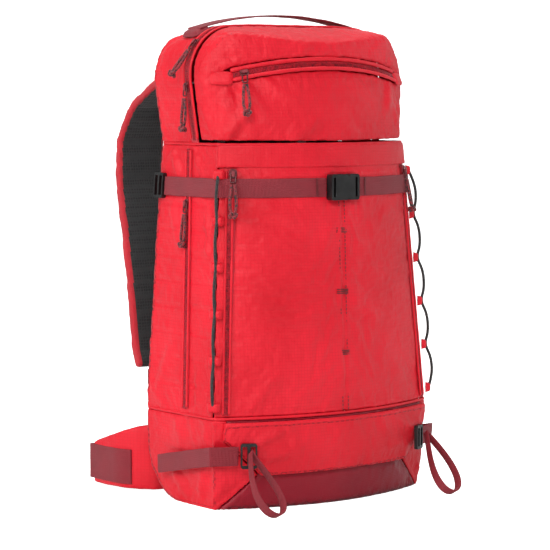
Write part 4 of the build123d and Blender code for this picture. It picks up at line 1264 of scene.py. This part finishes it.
class FitZips(bpy.types.Operator):
    """Lay the zip tapes and their coils"""
    bl_idname = "backpack.zips"
    bl_label = "Zips"

    def execute(self, context):
        make_main_zip()
        make_goggle_zip()
        make_side_zip()
        make_front_zips()
        return {"FINISHED"}


class TieCords(bpy.types.Operator):
    """Tie the zip pulls and lace the front edges"""
    bl_idname = "backpack.cords"
    bl_label = "Cords"

    def execute(self, context):
        make_pulls()
        make_laces()
        return {"FINISHED"}


class StitchSeams(bpy.types.Operator):
    """Sew the visible stitching and bar tacks"""
    bl_idname = "backpack.stitching"
    bl_label = "Stitching"

    def execute(self, context):
        front = surface_of("front_panel")

        def on_front(x, z):
            spot, normal, _, _ = front.ray_cast(Vector((x, -OUTSIDE, z)), Vector((0, 1, 0)))
            return spot, normal if normal.y < 0 else -normal

        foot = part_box("front_panel")[0].z
        for side, offset in (("left", -4.2 * MM), ("right", 3.0 * MM)):
            column = [on_front(offset, z) for z in spread(foot + 4 * MM, STRAP_LOW - 2 * MM, 60)]
            lifted = [(spot + normal * 2.4 * MM, normal) for spot, normal in column]
            dash_row(f"centre_seam_stitches_{side}", lifted, "pack")
        for number, level in enumerate((0.159, 0.223, 0.287), 1):
            spot, normal = on_front(-1.5 * MM, level)
            bar_tack(f"bar_tack_{number}", spot + normal * 2.6 * MM, normal, 15 * MM, 4 * MM, "pack")
        for side, x in (("left", -31 * MM), ("right", 31 * MM)):
            spot, normal = on_front(x, 0.332)
            bar_tack(f"strap_tack_{side}", spot + normal * 4.4 * MM, normal, 2.4 * MM, 17 * MM, "pack")
        seam_rolls()
        self.cover_ends()
        return {"FINISHED"}

    def cover_ends(self):
        """Cloth garages over the goggle zip's ends, and webbing anchors under the haul handle's."""
        lid = surface_of("lid_shell")
        low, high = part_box("goggle_zip")
        for side, x in (("left", low.x - 1 * MM), ("right", high.x + 1 * MM)):
            start = Vector((x * 1.06, -OUTSIDE, low.z + 3 * MM))
            spot, normal, _, _ = lid.ray_cast(start, Vector((0, 1, 0)))
            normal = normal if normal.y < 0 else -normal
            along = Vector((0, 0, 1)).cross(normal).normalized()
            patch(f"goggle_zip_garage_{side}", spot, normal, along, 24 * MM, 15 * MM, "lid", 2.2 * MM)
        low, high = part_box("haul_handle")
        yoke = surface_of("top_yoke")
        for side, x in (("left", low.x + 3 * MM), ("right", high.x - 3 * MM)):
            spot, normal, _, _ = yoke.ray_cast(Vector((x, (low.y + high.y) / 2, 0.6)), Vector((0, 0, -1)))
            normal = normal if normal.z > 0 else -normal
            along = Vector((0, 1, 0)).cross(normal).normalized()
            patch(f"handle_anchor_{side}", spot + normal * 1.5 * MM, normal, along, 22 * MM, 29 * MM, "pack",
                  4.5 * MM, "webbing", "dark_red_webbing")


class FinishHardware(bpy.types.Operator):
    """Give the buckles, sliders and frame their finishes"""
    bl_idname = "backpack.hardware"
    bl_label = "Hardware"

    def execute(self, context):
        choice = {
            "plastic": ("side_ladder_locks", "lower_ladder_locks", "shoulder_ladder_locks", "sternum_buckle",
                        "front_buckle_female", "front_buckle_male", "hip_buckle_female", "hip_buckle_male"),
            "zinc": ("front_sliders", "main_slider_lower", "main_slider_upper", "goggle_slider",
                     "side_slider", *(f"{name}_bail" for name in PULLS)),
            "board": ("frame_sheet",),
            "stay": ("frame_stays",),
        }
        for finish_name, nodes in choice.items():
            for node in nodes:
                cad = frame["nodes"][node]
                if not cad.data.materials:
                    cad.data.materials.append(None)
                for place_in in cad.material_slots:
                    place_in.material = FINISHES[finish_name]
        return {"FINISHED"}


class SetStage(bpy.types.Operator):
    """Set the camera, the floor and the studio lights"""
    bl_idname = "backpack.stage"
    bl_label = "Stage"

    def execute(self, context):
        make_camera()
        make_stage()
        return {"FINISHED"}


STEPS = (SetStage, TieCords, SewShell, SewBase, SewHarness, CutWebbing, FitZips, StitchSeams, FinishHardware)


class BackpackPanel(bpy.types.Panel):
    """The pack's steps in the sidebar"""
    bl_idname = "VIEW3D_PT_backpack"
    bl_label = "Ski backpack"
    bl_space_type = "VIEW_3D"
    bl_region_type = "UI"
    bl_category = "Backpack"

    def draw(self, context):
        settings = context.scene.backpack
        for name in ("shell", "webbing", "base"):
            self.layout.prop(settings, name)
        for step in STEPS:
            self.layout.operator(step.bl_idname)


def register():
    for part in (PackSettings, *STEPS, BackpackPanel):
        bpy.utils.register_class(part)
    bpy.types.Scene.backpack = bpy.props.PointerProperty(type=PackSettings)


def unregister():
    del bpy.types.Scene.backpack
    for part in reversed((PackSettings, *STEPS, BackpackPanel)):
        bpy.utils.unregister_class(part)


def main():
    """Build every piece in order."""
    register()
    settings = bpy.context.scene.backpack
    make_finishes((settings.shell, settings.webbing, settings.base))
    for step in STEPS:
        group, name = step.bl_idname.split(".")
        getattr(getattr(bpy.ops, group), name)()
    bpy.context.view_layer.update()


if __name__ == "__main__":
    main()
